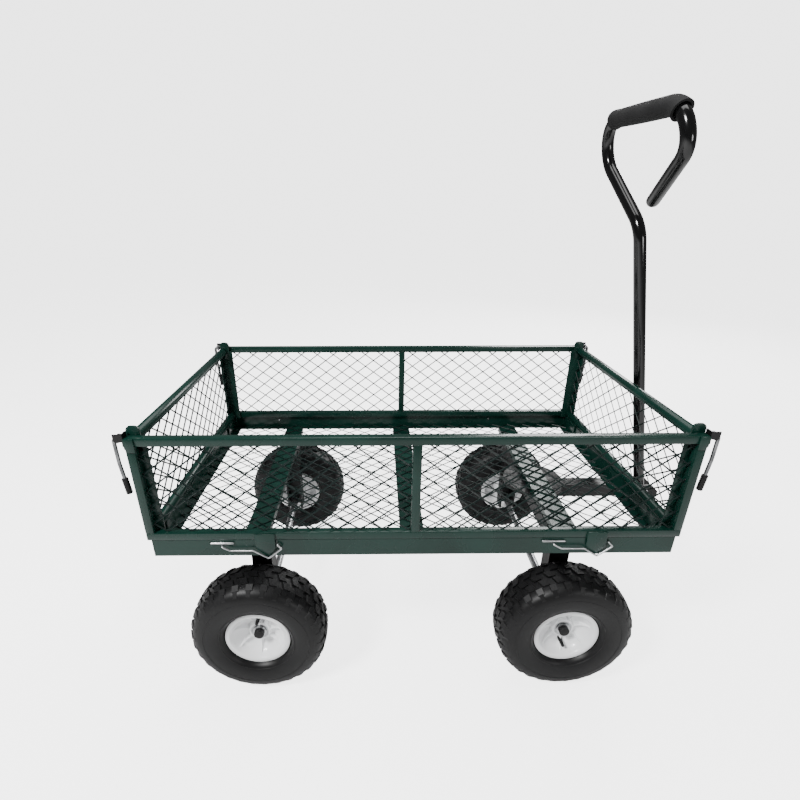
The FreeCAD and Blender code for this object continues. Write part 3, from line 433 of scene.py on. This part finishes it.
def bed():
    """The mesh floor, the angle-iron frame and the channels under it, with their welds."""
    floor = Build()
    length, width, lift = 892, 518, 1.2
    expanded(floor, length, width, lambda u, v, w: Vector((u - length / 2, v - width / 2, FLOOR + w)), lift)
    floor.finish("floor_mesh", MESH_GREEN, "chassis", "green_powder_coat", ["bed_mesh"], 30)
    for node in ("bed_frame", "rear_cross_member", "middle_cross_member", "front_cross_member"):
        soften(node, 0.9, GREEN)
    welds = Build()
    for x in (-AXLE_X, 0, AXLE_X):
        for side in (-1, 1):
            y = side * (BED_Y - 16.7)
            welds.weld((x - 20, y, FLOOR - 0.3), (x + 20, y, FLOOR - 0.3), 1.1)
    for sx in (-1, 1):
        for sy in (-1, 1):
            x, y = sx * (BED_X - 3), sy * (BED_Y - 3)
            welds.weld((x, y, FLOOR + 2), (x, y, DECK_TOP - 2), 1.6)
            welds.weld((sx * (BED_X - 4), sy * (BED_Y - 4), FLOOR + 0.3),
                       (sx * (BED_X - 16), sy * (BED_Y - 16), FLOOR + 0.3), 1.3)
    welds.finish("bed_welds", GREEN, "chassis", "green_powder_coat")


# ------------------------------------------------------------------ side panels and gates
TAB_TIPS = (-252, 317)          # the points of a side panel's two tabs along X
TAB_WIDE, TAB_REAR_SHARE = 34, 0.62


def side_panel(name, side):
    """A frame of square tube with two pointed tabs and a plate at each top corner, and its mesh."""
    rails = Build()
    inner, outer = side * SIDE_INNER, side * SIDE_FACE
    tube = SIDE_TUBE
    for low in (PANEL_BOTTOM, PANEL_TOP - tube):
        rails.block((-SIDE_END, inner, low), (SIDE_END, outer, low + tube), 1.8)
    for x in (-SIDE_END, -tube / 2, SIDE_END - tube):
        rails.block((x, inner, PANEL_BOTTOM + tube - 1), (x + tube, outer, PANEL_TOP - tube + 1), 1.8)
        for z in (PANEL_BOTTOM + tube, PANEL_TOP - tube):
            for seam in (inner + side * 0.9, outer - side * 0.9):
                rails.weld((x + 2, seam, z), (x + tube - 2, seam, z), 1.0)
    for tip in TAB_TIPS:
        rear = tip - TAB_REAR_SHARE * TAB_WIDE
        front = rear + TAB_WIDE
        outline = [(rear, 353.4), (rear, 325), (tip - 4, 308), (tip + 4, 308), (front, 325), (front, 353.4)]
        rails.prism(outline, (outer, outer + side * 3), facing_y, 0.7)
        for x in (rear, front):
            rails.weld((x, outer + side * 0.6, 342), (x, outer + side * 0.6, 352), 1.4)
    for end in (-1, 1):
        plate = [(0.2, 0.2), (0.2, 17), (5, 24), (16, 24), (16, 0.2)]
        outline = [(end * (SIDE_END - inward), PANEL_TOP - down) for inward, down in plate]
        rails.prism(outline, (outer, outer + side * 2), facing_y, 0.6)
    rails.finish(name + "_side_rails", GREEN, name + "_side", "green_powder_coat", [name + "_side_frame"])

    strands = Build()
    middle = side * (SIDE_FACE - tube / 2)
    width = SIDE_END - 1.5 * tube
    for x in (tube - SIDE_END, tube / 2):
        expanded(strands, width, PANEL_TOP - PANEL_BOTTOM - 2 * tube,
                 lambda u, v, w, x=x: Vector((x + u, middle + w, PANEL_BOTTOM + tube + v)), 0)
    strands.finish(name + "_side_strands", MESH_GREEN, name + "_side", "green_powder_coat",
                   [name + "_side_mesh"], 30)
    soften(name + "_latch_brackets", 0.4, BLACK)


def ear_outline():
    """The plate that stands up at a gate's corner, square below and round-shouldered above."""
    near, far, low, top, bend = GATE_X - 15, GATE_X + 7, PANEL_TOP - 30, PANEL_TOP + 14, 8
    spring = top - bend
    ear = [(near, low), (far, low), (far, spring)]
    ear += [(far - bend + bend * math.cos(t), spring + bend * math.sin(t)) for t in (0.4, 0.8, 1.2, 1.57)]
    ear += [(near + bend - bend * math.sin(t), spring + bend * math.cos(t)) for t in (0, 0.4, 0.8, 1.2)]
    return ear + [(near, spring)]


def gate(name, end):
    """Two round rails between corner angles with ears and floor tabs, and the gate's mesh."""
    build = Build()
    radius = GATE_TUBE / 2
    top_rail = PANEL_TOP - radius
    for z in (PANEL_BOTTOM + radius, top_rail):
        bore = radius - 1.5
        profile = [(bore, -244.4), (radius - 0.3, -244.4), (radius, -244),
                   (radius, 244), (radius - 0.3, 244.4), (bore, 244.4)]
        build.lathe(profile, (end * GATE_X, 0, z), (0, 1, 0), 40, closed=True)
    for side in (-1, 1):
        outer = GATE_X + 6
        outline = [(outer - 27, GATE_HALF), (outer - 27, 244.5), (outer - 3, 244.5), (outer - 3, 225.5),
                   (outer, 225.5), (outer, GATE_HALF)]
        build.prism([(end * a, side * b) for a, b in outline], (PANEL_BOTTOM, top_rail),
                    lambda a, b, depth: Vector((a, b, depth)), 0.7)
        turns = [math.pi * (0.5 + end * 0.08) + end * i * math.pi / 10 for i in range(9)]
        seam = [(end * GATE_X + 9.9 * math.cos(t), side * 243.6, top_rail + 9.9 * math.sin(t)) for t in turns]
        build.sweep(seam, 1.2, 8, lambda i: 0.8 + 0.2 * abs(math.sin(i * 1.3)))
        build.prism([(end * a, b) for a, b in ear_outline()], (side * 243.5, side * GATE_HALF), facing_y, 0.6)
        build.block((end * 443.6, side * 180, 316.5), (end * 446.6, side * 214, 349), 0.7)
        build.weld((end * 444, side * 181, 342.5), (end * 444, side * 213, 342.5), 1.3)
    build.finish(name + "_gate_rails", GREEN, name + "_gate", "green_powder_coat", [name + "_gate_frame"])

    strands = Build()
    expanded(strands, 489, PANEL_TOP - PANEL_BOTTOM - 2 * GATE_TUBE + 3,
             lambda u, v, w: Vector((end * GATE_X + w, u - 244.5, PANEL_BOTTOM + GATE_TUBE - 1.5 + v)), 0)
    strands.finish(name + "_gate_strands", MESH_GREEN, name + "_gate", "green_powder_coat",
                   [name + "_gate_mesh"], 30)


# ------------------------------------------------------------------ latches and clips
def latch(corner, end, side):
    """A bent rod that turns on a pin, with a finger over the gate's ear and a ribbed sleeve."""
    body = corner + "_latch"
    x, y, z = end * LATCH_X, side * LATCH_Y, LATCH_Z
    bend = Vector((x + end * 9, y, z - 45))
    path = rounded([(x, y, z), (x + end * 9, y, z - 3), bend, (x + end * 4, y, z - 100)], (6, 90))
    lever = Build()
    lever.sweep(path, 3, 16)
    hub = [(2.1, -4), (5.0, -4), (5.5, -3.5), (5.5, 3.5), (5.0, 4), (2.1, 4)]
    lever.lathe(hub, (x, y, z), (0, 1, 0), 32, closed=True)
    lever.block((x - end * 2.5, y - side * 4, z - 5.5), (x + end * 1, y - side * 12, z + 1), 0.7)
    lever.finish(corner + "_lever_rod", STEEL, body, "zinc_plate", [corner + "_latch_lever"])

    foot = path[-1]
    along = (bend - foot).normalized()
    grooves, spacing = 5, 4.4
    profile = [(3.0, -1.6), (4.1, -1.7), (4.8, -1.0), (5.0, 0)]
    for i in range(grooves):
        start = 2.2 + i * spacing
        profile += [(5.0, start), (4.5, start + 0.7), (4.5, start + 1.3), (5.0, start + 2.0)]
    profile += [(5.0, 25.2), (4.6, 26.6), (3.9, 27), (3.0, 27)]
    sleeve = Build()
    sleeve.lathe(profile, foot, along, 32)
    sleeve.finish(corner + "_lever_sleeve", SOFT, body, "grip_rubber", [corner + "_latch_grip"])


CLIP_REACH, CLIP_Z, CLIP_WIRE = 78, 330, 1.6


def clip(corner, end, side):
    """A spring wire: through the bed's flange, along it, under the tab's point and back up to a hook."""
    tip = TAB_TIPS[0] if end < 0 else TAB_TIPS[1]
    x, y, z = tip - CLIP_REACH, side * 269, CLIP_Z
    under_tab = DECK_TOP - 32 - CLIP_WIRE - 1
    stop = side * (BED_Y + 0.8 + CLIP_WIRE)
    points = [(x, side * 257, z), (x, y, z), (x + 14, y, z - 8), (tip - 25, y, z - 8), (tip, y, under_tab),
              (tip + 24, y, z - 4), (tip + 17, y, z + 3), (tip + 17, stop, z + 3)]
    wire = Build()
    wire.sweep(rounded(points, (2.5, 6, 10, 3, 2.5, 1.7), 6), CLIP_WIRE, 14)
    wire.finish(corner + "_clip_wire", ZINC, corner + "_clip", "zinc_plate", [corner + "_spring_clip"])


def clip_bars():
    """The short round bars welded over the clips' pivots."""
    bars = Build()
    for side in (-1, 1):
        for tip in TAB_TIPS:
            x, y, z = tip - CLIP_REACH, side * 265, CLIP_Z + 5
            profile = [(1.2, -20), (1.8, -19.6), (2.0, -19), (2.0, 19), (1.8, 19.6), (1.2, 20)]
            bars.lathe(profile, (x, y, z), (1, 0, 0), 20)
    bars.finish("weld_bars", ZINC, "chassis", "zinc_plate", ["clip_bars"])


# ------------------------------------------------------------------ wheels
SIDEWALL = [(54, 29.6), (60.9, 29.8), (62.5, 33), (64.5, 36.8), (68, 39.8), (73, 42.2), (79, 43.8),
            (86, 44.6), (93, 44.7)]
CROWN = [(100, 44.2), (107, 42.6), (113, 39.6), (117.5, 35.4), (120.5, 29.5), (122.3, 22), (123.2, 13),
         (123.5, 5)]
LUG_TAPER, LUG_DRAFT = 0.012, 0.985          # how much narrower a block is on top, by angle and by share


def mirrored(half):
    """A profile of (radius, distance out) and its mirror image across the wheel's middle plane."""
    return half + [(r, -h) for r, h in reversed(half)]


def lug(build, a0, a1, h0, h1, skew, base, top):
    """A tread block: angle and width limits, with its foot and its top radius at each side."""
    corners = []
    for radius, inset, draft in ((base, 0, 1), (top, LUG_TAPER, LUG_DRAFT)):
        for angle, height in ((a0 + inset, h0), (a1 - inset, h0), (a1 - inset, h1), (a0 + inset, h1)):
            r = radius(height)
            t = angle + skew * (height - h0)
            corners.append(Vector((r * math.cos(t), height * draft, r * math.sin(t))))
    build.add(corners, BOX_FACES)


def carcass_radius(height):
    """The carcass's radius at a distance from the wheel's middle plane, over the crown and shoulders."""
    height = abs(height)
    steps = CROWN[::-1]
    if height <= steps[0][1]:
        return steps[0][0]
    for (r0, h0), (r1, h1) in zip(steps, steps[1:]):
        if height <= h1:
            return r0 + (r1 - r0) * (height - h0) / (h1 - h0)
    return steps[-1][0]


def lug_foot(height):
    return carcass_radius(height) - 1.2


def lug_top(height):
    return 126.9 - max(abs(height) - 9, 0) ** 1.6 * 0.03


def shoulder_top(height):
    return carcass_radius(height) + 3.4 * max(0.35, 1 - (abs(height) - 24.5) / 24)


def edge_top(height):
    return carcass_radius(height) + 2.6


def tread(build):
    """Five rows of blocks: one on the crown, and on each side a middle row and a stepped shoulder row."""
    count = 30
    step = 2 * math.pi / count
    for i in range(count):
        a = i * step
        lug(build, a, a + 0.60 * step, -6.5, 6.5, 0.0035, lug_foot, lug_top)
        for side in (-1, 1):
            b = a + (0.45 if side > 0 else 0.55) * step
            lug(build, b, b + 0.62 * step, side * 9.5, side * 22.5, side * 0.003, lug_foot, lug_top)
            c = a + 0.05 * step
            lug(build, c, c + 0.58 * step, side * 24.5, side * 34.5, 0, lug_foot, shoulder_top)
            lug(build, c + 0.06 * step, c + 0.46 * step, side * 34.5, side * 41.5, 0, lug_foot, edge_top)


RIBS, FIRST_RIB = 7, 0.22          # how many ribs, and the first one's angle


def rim_shape(build):
    """A pressed rim: one turned outline round the barrel, the hub and the dish, then the ribs."""
    inner_flange = [(51.0, -23.5), (51.0, -29.5), (60.0, -29.6), (60.2, -31), (59.6, -32.9), (56, -32.9),
                    (49.5, -31), (48.2, -28)]
    dish_back = [(48.0, 14), (45, 12.6), (40, 8.6), (33, 4.4), (26, 2.2), (20, 1.6)]
    hub = [(20, -33.2), (19.2, -34), (17.05, -34), (17.05, 14), (19.0, 14), (20, 13.2), (20.2, 7.4)]
    dish_front = [(22.5, 4.9), (28, 5.6), (35, 8.6), (42, 14), (46.2, 19.6), (48.6, 26), (50.0, 30.2)]
    outer_flange = [(51.6, 32.2), (54, 32.9), (58.6, 32.9), (59.8, 32.2), (60.0, 30.8), (59.4, 29.9),
                    (51.0, 29.7), (51.0, 24)]
    profile = inner_flange + dish_back + hub + dish_front + outer_flange
    build.lathe(profile, (0, 0, 0), (0, 1, 0), 96, closed=True)
    for i in range(RIBS):
        rib(build, 2 * math.pi * i / RIBS + FIRST_RIB)


def rib(build, angle):
    """A pressed rib: a rounded ridge from the hub down into the dish, at (radius, top, half width, foot)."""
    verts, faces = [], []
    stations = [(19.5, 13.0, 2.6, 5.2), (24, 13.2, 3.4, 4.6), (30, 13.8, 4.4, 6.0), (36, 15.6, 5.2, 9.0),
                (42, 19.0, 5.4, 13.8), (47.5, 24.0, 4.2, 22.0)]
    across = (-1, -0.5, -0.22, -0.1, 0.1, 0.22, 0.5, 1)
    height = (0, 0.22, 0.7, 1, 1, 0.7, 0.22, 0)
    sunk, spread = 1.5, 1.15
    for r, top, half, foot in stations:
        for s, h in zip(across, height):
            out = foot - sunk + (top - foot + sunk) * h
            tangent = s * half * spread
            x = r * math.cos(angle) - tangent * math.sin(angle)
            z = r * math.sin(angle) + tangent * math.cos(angle)
            verts.append(Vector((x, out, z)))
    n = len(across)
    for i in range(len(stations) - 1):
        for k in range(n - 1):
            faces.append((i * n + k, i * n + k + 1, (i + 1) * n + k + 1, (i + 1) * n + k))
    build.add(verts, faces)


def wheel_part(name, maker, mat, slot, node, corner, end, side, spin, angle=40):
    """A wheel piece drawn about its own axle with +Y outward, turned and placed at its corner."""
    build = Build()
    maker(build)
    turn = Matrix.Rotation(spin, 3, "Y")
    if side < 0:
        turn = Matrix.Rotation(math.pi, 3, "Z") @ turn
    centre = Vector((end * AXLE_X, side * TRACK, AXLE_Z))
    build.verts = [turn @ v + centre for v in build.verts]
    build.finish(corner + name, mat, corner + "_wheel", slot, [corner + node], angle)


def tyre_shape(build):
    """A hollow carcass with its tread and two raised rings on each sidewall."""
    inner = [(54, 23), (63, 25), (78, 37), (110, 37), (119, 22)]
    build.lathe(mirrored(SIDEWALL + CROWN) + mirrored(inner)[::-1], (0, 0, 0), (0, 1, 0), 120, closed=True)
    tread(build)
    for r, h in ((69.5, 40.9), (97.0, 44.6)):
        for side in (-1, 1):
            ring = [(r - 0.9, side * (h - 1.2)), (r - 0.4, side * (h + 0.2)), (r + 0.4, side * (h + 0.2)),
                    (r + 0.9, side * (h - 1.2))]
            build.lathe(ring, (0, 0, 0), (0, 1, 0), 120, closed=True)


def bearing_shape(build):
    """The outer and the inner bearing: inner race, sunk shield, outer race."""
    for face, way in ((14, 1), (-34, -1)):
        back = face - way * 12
        ring = [(8.06, back), (8.06, face - way * 0.3), (8.4, face), (10.0, face), (10.3, face - way * 0.7),
                (10.6, face - way * 1.0), (14.0, face - way * 1.0), (14.3, face - way * 0.5), (14.6, face),
                (16.5, face), (16.98, face - way * 0.5), (16.98, back)]
        build.lathe(ring, (0, 0, 0), (0, 1, 0), 64, closed=True)


def valve_shape(build, up):
    """A valve stem and its cap, above the axle when up is 1 and below it when up is -1."""
    profile = [(4.0, 0.1), (4.0, 9.5), (3.4, 10.6), (3.2, 12.4), (3.6, 13.4), (3.6, 15.9), (3.0, 16.2),
               (3.0, 22.6), (2.4, 23.8), (1.0, 24)]
    build.lathe(profile, (0, 4, 31 * up), (0, 1, 0), 24)


def wheels():
    for end_name, end in ENDS:
        for side_name, side in SIDES:
            corner = end_name + "_" + side_name
            spin = rng.uniform(0, 2 * math.pi)
            place = (corner, end, side)
            wheel_part("_tread", tyre_shape, TYRE, "tyre_rubber", "_tyre", *place, spin, 28)
            wheel_part("_dish", rim_shape, WHITE, "white_rim", "_rim", *place, 0.0)
            wheel_part("_race", bearing_shape, ZINC, "zinc_plate", "_bearings", *place, 0.0)
            wheel_part("_valve", lambda build: valve_shape(build, -end), SOFT, "grip_rubber", "_valve_stem",
                       *place, 0.0)


BORE = 8.02          # the inside radius of what sits on an axle


def axle_ends():
    """Spacers, washers and push-on caps in place of the plain ones."""
    spacer = [(BORE, 194.1), (11, 194.1), (11, 213.8), (BORE, 213.8)]
    washer = [(BORE, 263), (12.6, 263), (13, 263.4), (13, 264.6), (12.6, 265), (BORE, 265)]
    cap = [(BORE, 265), (9.4, 265), (9.5, 265.4), (9.5, 271), (8.9, 272.4), (7.2, 272.9), (0.2, 273)]
    for end_name, end in ENDS:
        body = "chassis" if end < 0 else "steering"
        centre = (end * AXLE_X, 0, AXLE_Z)
        bits, caps = Build(), Build()
        for side in (-1, 1):
            across = (0, side, 0)
            bits.lathe(spacer, centre, across, 40, closed=True)
            bits.lathe(washer, centre, across, 48, closed=True)
            caps.lathe(cap, centre, across, 40)
        caps.finish(end_name + "_axle_caps", SOFT, body, "black_powder_coat")
        bits.finish(end_name + "_axle_ends", ZINC, body, "zinc_plate", [end_name + "_axle_hardware"])
        soften(end_name + "_axle", 0.0, ZINC)


# ------------------------------------------------------------------ handle
def lean(y, s, depth=0.0):
    """A place in the handle's own plane: across, up the stem, and out of the plane."""
    return Vector((PIVOT_X - s * math.sin(LEAN) + depth * math.cos(LEAN), y,
                   PIVOT_Z + s * math.cos(LEAN) + depth * math.sin(LEAN)))


# The corners of the handle's centreline from the foot to the loop's open tip, as (across, up the stem).
LOOP = [(0, 9), (0, 566), (126, 679.46), (126, 752), (-136, 740), (-136, 677.6), (-44, 610.44)]
LOOP_BENDS = (60, 55, 44, 46, 34)
GRIP_ENDS = ((89, 748.8), (-118.5, 730.6))
HANDLE_RADIUS, GRIP_RADIUS = 11, 14.6
PIVOT_BORE = 5.06


def handle():
    """The bent tube with its rounded tip, and the pivot sleeve welded to its foot."""
    path = rounded([lean(y, s) for y, s in LOOP], LOOP_BENDS, 14)
    tube = Build()
    back = (path[-2] - path[-1]).normalized()
    tip = [path[-1] + back * -HANDLE_RADIUS * t for t in (0.35, 0.62, 0.82, 0.95)]
    swell = [1.0] * len(path) + [0.94, 0.78, 0.57, 0.31]
    tube.sweep(path + tip, HANDLE_RADIUS, 40, lambda i: swell[i], domed=False)
    sleeve = [(PIVOT_BORE, -14.6), (11.6, -14.6), (12, -14.2), (12, 14.2), (11.6, 14.6), (PIVOT_BORE, 14.6)]
    tube.lathe(sleeve, (PIVOT_X, 0, PIVOT_Z), (0, 1, 0), 48, closed=True)
    tube.weld(lean(-9, 13.2), lean(9, 13.2), 1.4)
    tube.finish("handle_bar", GLOSS, "handle", "handle_gloss_black", ["handle_tube"], 50)


def hand_grip():
    """A foam sleeve pulled over the loop's top: it follows the tube round both bends, its ends flared."""
    top = rounded([lean(y, s) for y, s in LOOP[2:6]], LOOP_BENDS[2:4], 24)
    start = min(range(len(top)), key=lambda i: (top[i] - lean(*GRIP_ENDS[0])).length)
    stop = min(range(len(top)), key=lambda i: (top[i] - lean(*GRIP_ENDS[1])).length)
    path, longest = [], 5
    for here, there in zip(top[start:stop], top[start + 1:stop + 1]):
        pieces = max(1, int((there - here).length / longest))
        path += [here.lerp(there, i / pieces) for i in range(pieces)]
    path.append(top[stop])
    travel = [0.0]
    for here, there in zip(path, path[1:]):
        travel.append(travel[-1] + (there - here).length)
    span = travel[-1]

    def outer(i):
        near, far = travel[i], span - travel[i]
        belly = 0.9 * math.sin(math.pi * near / span)
        return GRIP_RADIUS + belly + 1.9 * math.exp(-near / 9) + 1.9 * math.exp(-far / 9)

    def inner(i):
        return HANDLE_RADIUS + (1.8 if i in (0, len(path) - 1) else 0)

    grip = Build()
    grip.tube(path, outer, inner, 48)
    grip.finish("hand_grip", GRIP, "handle", "grip_rubber", ["handle_grip"], 50)


# ------------------------------------------------------------------ running gear
def running_gear():
    """The black steelwork and bolts under the bed, with the welds that hold it together."""
    for node in ("rear_axle_bracket", "steering_beam", "tongue", "upper_turntable_plate",
                 "lower_turntable_plate"):
        soften(node, 0.8, BLACK)
    for node in ("chassis_bolts", "kingpin_bolt", "kingpin_nut", "handle_pivot_bolt"):
        soften(node, 0.4, ZINC)
    welds = Build()
    for y in (-15, 15):
        welds.weld((307.3, y, 261), (307.3, y, 288), 1.3)
    welds.weld((307.3, -14, 289), (307.3, 14, 289), 1.3)
    for side in (-1, 1):
        welds.weld((478, side * 15.4, 289.3), (508, side * 15.4, 289.3), 1.3)
        welds.weld((478, side * 15.4, 259.9), (508, side * 15.4, 259.9), 1.3)
        for x in (AXLE_X - 17, AXLE_X + 17):
            welds.weld((x, side * 159.3, 262), (x, side * 159.3, 286), 1.3)
    welds.finish("steering_welds", BLACK, "steering", "black_powder_coat")
    seams = Build()
    for side in (-1, 1):
        seams.weld((-AXLE_X - 17, side * 193.2, 293.6), (-AXLE_X + 17, side * 193.2, 293.6), 1.3)
    seams.finish("rear_bracket_welds", BLACK, "chassis", "black_powder_coat")


bed()
for panel_name, panel_side in SIDES:
    side_panel(panel_name, panel_side)
for gate_name, gate_end in ENDS:
    gate(gate_name, gate_end)
    for panel_name, panel_side in SIDES:
        latch(gate_name + "_" + panel_name, gate_end, panel_side)
        clip(gate_name + "_" + panel_name, gate_end, panel_side)
clip_bars()
wheels()
axle_ends()
handle()
hand_grip()
running_gear()


# ------------------------------------------------------------------ stage, light and camera
def area_light(name, place, target, size, power):
    """A square lamp, its place and size in metres and its power in watts, turned to a target."""
    lamp = bpy.data.lights.new(name, "AREA")
    lamp.shape = "SQUARE"
    lamp.size = size
    lamp.energy = power
    obj = bpy.data.objects.new(name, lamp)
    obj.location = place
    obj.rotation_euler = (Vector(target) - Vector(place)).to_track_quat("-Z", "Y").to_euler()
    bpy.context.scene.collection.objects.link(obj)


BACKDROP = 3.4          # how bright the backdrop looks, and
ROOM_LIGHT = 0.16       # how much light it gives
FLOOR_DIMMER = 0.13     # how far the floor's own light stays below the backdrop's


def studio():
    """A plain pale floor and backdrop, and four soft lamps."""
    floor_mat, _, _, shader, _ = new_material("pale_floor", (0.82, 0.82, 0.82), 0.9)
    bpy.ops.mesh.primitive_plane_add(size=60, location=(0, 0, -0.0005))
    floor = bpy.context.object
    floor.name = "studio_floor"
    floor.data.materials.append(floor_mat)
    world = bpy.data.worlds.new("studio")
    world.use_nodes = True
    back = world.node_tree.nodes["Background"]
    back.inputs["Color"].default_value = (1, 1, 1, 1)
    brighten(world.node_tree, back.inputs["Strength"], ROOM_LIGHT, BACKDROP)
    bpy.context.scene.world = world
    brighten(floor_mat.node_tree, shader.inputs["Emission Strength"], 0.0, BACKDROP - FLOOR_DIMMER)
    shader.inputs["Emission Color"].default_value = (1, 1, 1, 1)
    area_light("key", (-1.7, -1.6, 2.6), (0, 0, 0.3), 0.6, 130)
    area_light("top", (0.0, 0.5, 2.9), (0, 0, 0.4), 2.2, 55)
    area_light("rim", (1.6, 2.6, 1.9), (0, 0, 0.4), 1.2, 60)
    area_light("front", (1.7, -2.3, 1.0), (0.1, 0, 0.4), 0.7, 16)


def brighten(tree, socket, lit, seen):
    """A white that the camera sees brighter than the light that it gives, as a bleached backdrop is."""
    rays = tree.nodes.new("ShaderNodeLightPath")
    span = tree.nodes.new("ShaderNodeMapRange")
    span.inputs["To Min"].default_value = lit
    span.inputs["To Max"].default_value = seen
    tree.links.new(rays.outputs["Is Camera Ray"], span.inputs["Value"])
    tree.links.new(span.outputs["Result"], socket)


def camera():
    """In front of the cart's right side and looking down on it, a little off its middle."""
    data = bpy.data.cameras.new("camera")
    data.lens = 21.43
    data.sensor_width = 36
    data.shift_x = 0.0219
    data.shift_y = 0.0177
    obj = bpy.data.objects.new("camera", data)
    obj.location = (-0.1069, -0.9243, 0.8651)
    obj.rotation_euler = (math.radians(90 - 23.756), 0, math.radians(-0.623))
    bpy.context.scene.collection.objects.link(obj)
    bpy.context.scene.camera = obj


studio()
camera()
